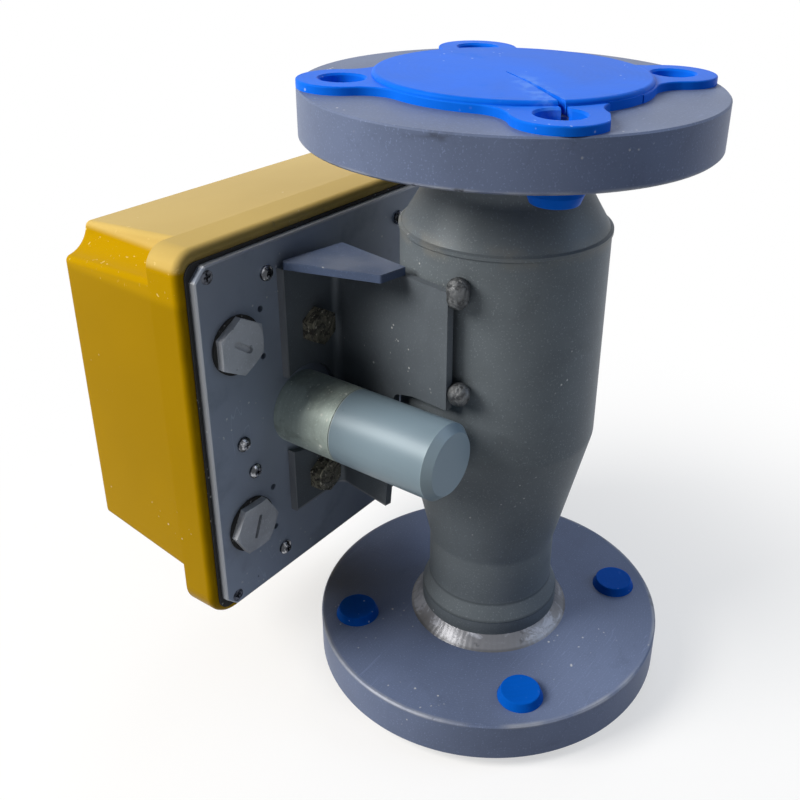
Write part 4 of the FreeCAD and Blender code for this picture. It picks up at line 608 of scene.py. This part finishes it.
def make_fasteners():
    """Dirty hex bolts, bright machine screws, dull corner screws and the grey cable plugs with painted highlights on
    their crowns.
    """
    bolt = Paint("bolt_dirty", tone(96, 92, 82), 0.4, 0.85)
    crust = bolt.noise(260.0, 6.0, 0.75, warp=1.0)
    dirt = crust.rise(0.46, 0.58)
    glint = bolt.noise(700.0, 3.0).rise(0.6, 0.68)
    skin = bolt.mix(dirt, tone(112, 110, 98), tone(34, 33, 30))
    bolt.color(bolt.mix(glint * 0.6, skin, tone(214, 210, 196)))
    bolt.rough(0.28 + dirt * 0.42)
    bolt.metal(0.9 - dirt * 0.5)
    bolt.relief(crust, 0.0009, 0.9)
    bolt.put_on("bracket_bolts", "bracket_nuts")

    bright = mottled("screw_bright", (tone(70, 72, 76), tone(168, 170, 176)), (0.45, 0.62),
                     (420.0, 4.0, 0.6), (0.14, 0.22), 1.0, (0.0001, 0.4))
    bright.put_on("pillar_screws", "terminal_screws", "dial_screws", "window_frame_screws")
    dull = mottled("screw_dull", (tone(38, 40, 46), tone(112, 116, 126)), (0.4, 0.6),
                   (500.0, 4.0, 0.6), (0.28, 0.3), 0.8, (0.00012, 0.5))
    dull.put_on("hood_screws")

    plug = Paint("plug_cast", PLUG_METAL, 0.5, 0.3)
    body, cloud, grain = satin(plug, PLUG_METAL, 0.3, 60.0)
    # painted highlight round the crown of each plug
    crown = plug.y.rise(PLUG_CROWN - 0.0002, PLUG_CROWN - 0.0012)
    body = plug.mix(crown * plug.noise(110.0, 3.0).rise(0.3, 0.6) * 0.45, body, EDGE_HIGHLIGHT)
    plug.color(plug.mix(plug.specks(500.0, 0.28, 60.0, 0.1) * 0.5, body, tone(60, 62, 64)))
    plug.rough(0.46 + cloud * 0.16)
    plug.relief(grain + plug.noise(180.0, 3.0) * 0.6, 0.00007, 0.5)
    plug.put_on("cable_plug_upper", "cable_plug_lower", "plug_nuts", "sleeve_nut")


def make_seals():
    """Matt black rubber with grey dust in its pores."""
    paint = Paint("rubber_black", RUBBER, 0.7, 0.0, 0.3)
    pores = paint.noise(700.0, 3.0)
    film = paint.noise(60.0, 4.0, 0.6).rise(0.5, 0.75)
    body = paint.mix(film * 0.3, RUBBER, tone(64, 66, 68))
    paint.color(paint.mix(paint.specks(480.0, 0.3, 60.0, 0.16) * 0.6, body, tone(190, 192, 190)))
    paint.rough(0.62 + pores * 0.2)
    paint.relief(pores, 0.00010, 0.5)
    paint.put_on("hood_gasket", "window_gasket", "plug_gaskets", "sleeve_seal")


def make_inside():
    """Turned steel, magnets, brass, plastics, dial, pointer and window."""
    turned("steel_turned", "z").put_on("float_head", "float_rod", "lower_guide", "upper_guide")
    turned("shaft_turned", "y").put_on("pointer_spindle", "magnet_holder", "dial_pillars", "bearing_bridge")
    magnet = mottled("magnet_sintered", (tone(38, 38, 42), tone(78, 78, 82)), (0.4, 0.65),
                     (520.0, 5.0, 0.7), (0.42, 0.2), 0.5)
    magnet.put_on("float_magnet", "follower_magnet")
    brass = mottled("brass_turned", (tone(204, 168, 96), tone(140, 104, 56)), (0.45, 0.7),
                    (160.0, 4.0, 0.6), (0.2, 0.25), 1.0, (0.00006, 0.4))
    brass.put_on("front_bearing", "rear_bearing", "terminal_clamp_screws")
    border = mottled("frame_black", (tone(24, 25, 28), tone(46, 47, 50)), (0.4, 0.7),
                     (420.0, 3.0), (0.34, 0.16))
    border.put_on("window_frame")
    block = mottled("terminal_grey", (tone(80, 82, 80), tone(108, 110, 106)), (0.35, 0.7),
                    (380.0, 3.0), (0.44, 0.16), bump=(0.00008, 0.4))
    block.put_on("terminal_block")
    red = mottled("pointer_paint", (tone(172, 20, 16), tone(200, 34, 26)), (0.35, 0.7),
                  (300.0, 3.0), (0.32, 0.12), bump=(0.00004, 0.4))
    red.put_on("pointer")

    dial = Paint("dial_enamel", ENAMEL, 0.45)
    fade = dial.noise(18.0, 4.0, 0.5)
    face = dial.mix(fade.rise(0.3, 0.7), tone(224, 224, 216), tone(238, 238, 234))
    across = dial.x - PIVOT_X
    up = dial.z - PIVOT_Z
    line = (across * across + up * up).root().near(SCALE_R, SCALE_LINE_HALF, 0.00008)
    line = line * across.rise(SCALE_LINE_END + 0.0005, SCALE_LINE_END - 0.0002)
    dial.color(dial.mix(line * 0.9, face, INK))
    dial.rough(0.4 + fade * 0.12)
    dial.relief(dial.noise(500.0, 2.0), 0.00003, 0.3)
    dial.put_on("dial_plate")

    glass = Paint("glass_clear", (0.94, 0.97, 0.96), 0.02)
    glass.shader.inputs["Transmission Weight"].default_value = 1.0
    glass.shader.inputs["IOR"].default_value = 1.5
    film = glass.noise(30.0, 5.0, 0.6, warp=0.6).rise(0.5, 0.75)
    glass.color(glass.mix(film, (0.95, 0.98, 0.97), (0.88, 0.92, 0.91)))
    glass.rough(0.015 + film * 0.04)
    glass.put_on("window_glass")


def plain_mesh(obj, name):
    """Object with the evaluated shape of another as its own mesh."""
    bpy.context.view_layer.update()
    depth = bpy.context.evaluated_depsgraph_get()
    mesh = bpy.data.meshes.new_from_object(obj.evaluated_get(depth), depsgraph=depth)
    made = bpy.data.objects.new(name, mesh)
    bpy.context.scene.collection.objects.link(made)
    bpy.data.objects.remove(obj, do_unlink=True)
    return made


def tick_tree(ink):
    """Node tree that sets ticks round an arc in the XZ plane, each fifth one longer and thicker."""
    tree = bpy.data.node_groups.new("dial_ticks", "GeometryNodeTree")
    face = tree.interface
    face.new_socket("Geometry", in_out="OUTPUT", socket_type="NodeSocketGeometry")
    sockets = {"Count": face.new_socket("Count", in_out="INPUT", socket_type="NodeSocketInt").identifier}
    for name in ("Radius", "Length", "Width", "Height", "Swing"):
        sockets[name] = face.new_socket(name, in_out="INPUT", socket_type="NodeSocketFloat").identifier

    def add(kind, settings=None, values=()):
        return add_node(tree, kind, settings, values).outputs

    def maths(operation, *values):
        return add("ShaderNodeMath", {"operation": operation}, values)[0]

    given = add("NodeGroupInput")
    count = given["Count"]
    points = add("GeometryNodePoints", {}, {"Count": count})[0]
    index = add("GeometryNodeInputIndex")[0]
    share = maths("DIVIDE", index, maths("SUBTRACT", count, 1.0))
    angle = maths("MULTIPLY", maths("SUBTRACT", share, 0.5), given["Swing"])
    fifth = maths("COMPARE", maths("MODULO", index, 5.0), 0.0, 0.1)
    stretch = maths("ADD", 1.0, maths("MULTIPLY", fifth, 0.6))
    thick = maths("ADD", 1.0, maths("MULTIPLY", fifth, 0.7))
    middle = maths("SUBTRACT", given["Radius"], maths("MULTIPLY", maths("MULTIPLY", given["Length"], stretch), 0.5))
    place = add("ShaderNodeCombineXYZ", {}, [
        maths("MULTIPLY", maths("COSINE", angle), maths("MULTIPLY", middle, -1.0)), 0.0,
        maths("MULTIPLY", maths("SINE", angle), middle)])[0]
    placed = add("GeometryNodeSetPosition", {}, {"Geometry": points, "Position": place})[0]
    size = add("ShaderNodeCombineXYZ", {}, [given["Length"], given["Height"], given["Width"]])[0]
    bar = add("GeometryNodeMeshCube", {}, {"Size": size})[0]
    turn = add("ShaderNodeCombineXYZ", {}, [0.0, angle, 0.0])[0]
    grow = add("ShaderNodeCombineXYZ", {}, [stretch, 1.0, thick])[0]
    bars = add("GeometryNodeInstanceOnPoints", {}, {
        "Points": placed, "Instance": bar, "Rotation": turn, "Scale": grow})[0]
    real = add("GeometryNodeRealizeInstances", {}, {"Geometry": bars})[0]
    inked = add("GeometryNodeSetMaterial", {}, {"Geometry": real, "Material": ink})[0]
    add("NodeGroupOutput", {}, [inked])
    return tree, sockets


def finish_piece(piece):
    """Fixes a new piece to the body of the meter."""
    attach(piece, "meter")


def make_dial_print():
    """Ticks and numbers of the dial, as thin raised print."""
    ink = mottled("dial_ink", (tone(20, 20, 22), tone(48, 48, 50)), (0.4, 0.75),
                  (900.0, 3.0), (0.42, 0.2), bump=(0.00002, 0.2)).material
    tree, sockets = tick_tree(ink)
    holder = bpy.data.objects.new("tick_holder", bpy.data.meshes.new("tick_holder"))
    bpy.context.scene.collection.objects.link(holder)
    modifier = holder.modifiers.new("ticks", "NODES")
    modifier.node_group = tree
    for name, value in (("Count", TICK_COUNT), ("Radius", SCALE_R), ("Length", TICK_LENGTH),
                        ("Width", TICK_WIDTH), ("Height", TICK_HEIGHT), ("Swing", math.radians(SWING))):
        modifier[sockets[name]] = value
    ticks = plain_mesh(holder, "dial_ticks")
    front = Vector((PIVOT_X, DIAL_FRONT - TICK_HEIGHT * TICK_SINK, PIVOT_Z))
    ticks.data.transform(Matrix.Translation(front))
    finish_piece(ticks)
    for step in range(NUMBER_COUNT):
        angle = math.radians(SWING * (step / (NUMBER_COUNT - 1) - 0.5))
        text = bpy.data.curves.new("number", "FONT")
        text.body = str(step * NUMBER_STEP)
        text.size = NUMBER_SIZE
        text.align_x = "CENTER"
        text.align_y = "CENTER"
        text.extrude = TICK_HEIGHT * TICK_SINK
        text.materials.append(ink)
        source = bpy.data.objects.new("number", text)
        bpy.context.scene.collection.objects.link(source)
        number = plain_mesh(source, "dial_number_" + text.body)
        stand = Matrix.Rotation(math.radians(90), 4, "X")
        spot = front + Vector((-NUMBER_R * math.cos(angle), 0.0, NUMBER_R * math.sin(angle)))
        number.data.transform(Matrix.Translation(spot) @ stand)
        finish_piece(number)


def make_camera():
    """Camera at the photograph's place."""
    bearing = math.radians(CAMERA_BEARING)
    toward = math.radians(CAMERA_BEARING + 180.0 - CAMERA_YAW)
    pitch = math.radians(CAMERA_PITCH)
    place = Vector((CAMERA_DISTANCE * math.cos(bearing), CAMERA_DISTANCE * math.sin(bearing), CAMERA_HEIGHT))
    look = Vector((math.cos(toward) * math.cos(pitch), math.sin(toward) * math.cos(pitch), math.sin(pitch)))
    data = bpy.data.cameras.new("camera")
    data.lens = CAMERA_LENS
    data.sensor_width = CAMERA_SENSOR
    data.shift_x, data.shift_y = CAMERA_SHIFT
    data.clip_start, data.clip_end = CAMERA_RANGE
    camera = bpy.data.objects.new("camera", data)
    bpy.context.scene.collection.objects.link(camera)
    turn = look.to_track_quat("-Z", "Y").to_matrix().to_4x4()
    roll = Matrix.Rotation(math.radians(CAMERA_ROLL), 4, "Z")
    camera.matrix_world = Matrix.Translation(place) @ turn @ roll
    bpy.context.scene.camera = camera


def make_lamps():
    """Square soft lamps that look at the middle of the part."""
    aim = Vector((0.0, 0.0, (cad_low[2] + cad_high[2]) / 2))
    for name, place, side, power, tint in LAMPS:
        data = bpy.data.lights.new(name, "AREA")
        data.shape = "SQUARE"
        data.size = side
        data.energy = power
        data.color = tint
        lamp = bpy.data.objects.new(name, data)
        bpy.context.scene.collection.objects.link(lamp)
        turn = (aim - Vector(place)).to_track_quat("-Z", "Y")
        lamp.matrix_world = Matrix.Translation(place) @ turn.to_matrix().to_4x4()


def seen_rays(tree):
    """1 for camera, glossy and glass rays."""
    path = add_node(tree, "ShaderNodeLightPath").outputs
    total = path["Is Camera Ray"]
    for name in ("Is Glossy Ray", "Is Transmission Ray"):
        total = add_node(tree, "ShaderNodeMath", {"operation": "MAXIMUM"}, [total, path[name]]).outputs[0]
    return total


def make_world():
    """White where it is seen; a dim cool grey as light."""
    world = bpy.data.worlds.new("studio")
    bpy.context.scene.world = world
    world.use_nodes = True
    tree = world.node_tree
    dim = tree.nodes["Background"]
    dim.inputs["Color"].default_value = ROOM_TINT
    dim.inputs["Strength"].default_value = ROOM_LIGHT
    white = add_node(tree, "ShaderNodeBackground", {}, {"Color": WHITE})
    mix = add_node(tree, "ShaderNodeMixShader", {}, [seen_rays(tree), dim.outputs[0], white.outputs[0]])
    tree.links.new(mix.outputs[0], tree.nodes["World Output"].inputs["Surface"])


def make_floor():
    """Plain white floor that takes the shadow near the part and fades into the backdrop."""
    mesh = bpy.data.meshes.new("floor")
    corners = [(x * FLOOR_HALF, y * FLOOR_HALF, 0.0) for x, y in ((-1, -1), (1, -1), (1, 1), (-1, 1))]
    mesh.from_pydata(corners, [], [(0, 1, 2, 3)])
    floor = bpy.data.objects.new("floor", mesh)
    bpy.context.scene.collection.objects.link(floor)
    floor.location.z = -FLOOR_DROP
    paint = Paint("floor_white", FLOOR_SEEN, 0.9)
    seen = Number(paint, seen_rays(paint.tree))
    paint.color(paint.mix(seen, FLOOR_UNSEEN, FLOOR_SEEN))
    share = seen * (paint.radius().rise(*SHADOW_FADE) * (1.0 - SHADOW_LIFT) + SHADOW_LIFT)
    glow = paint.node("ShaderNodeEmission", {}, {"Color": WHITE, "Strength": 1.0})
    mix = paint.node("ShaderNodeMixShader", {}, [share, paint.shader.outputs[0], glow.outputs[0]])
    feed(paint.tree, paint.tree.nodes["Material Output"].inputs["Surface"], mix.outputs[0])
    mesh.materials.append(paint.material)


make_tube()
make_flanges()
make_welds()
make_bracket()
make_plate()
make_hood()
make_covers()
make_sleeve_and_cap()
make_fasteners()
make_seals()
make_inside()
make_dial_print()
make_camera()
make_lamps()
make_world()
make_floor()
bpy.context.scene.view_settings.view_transform = "Standard"
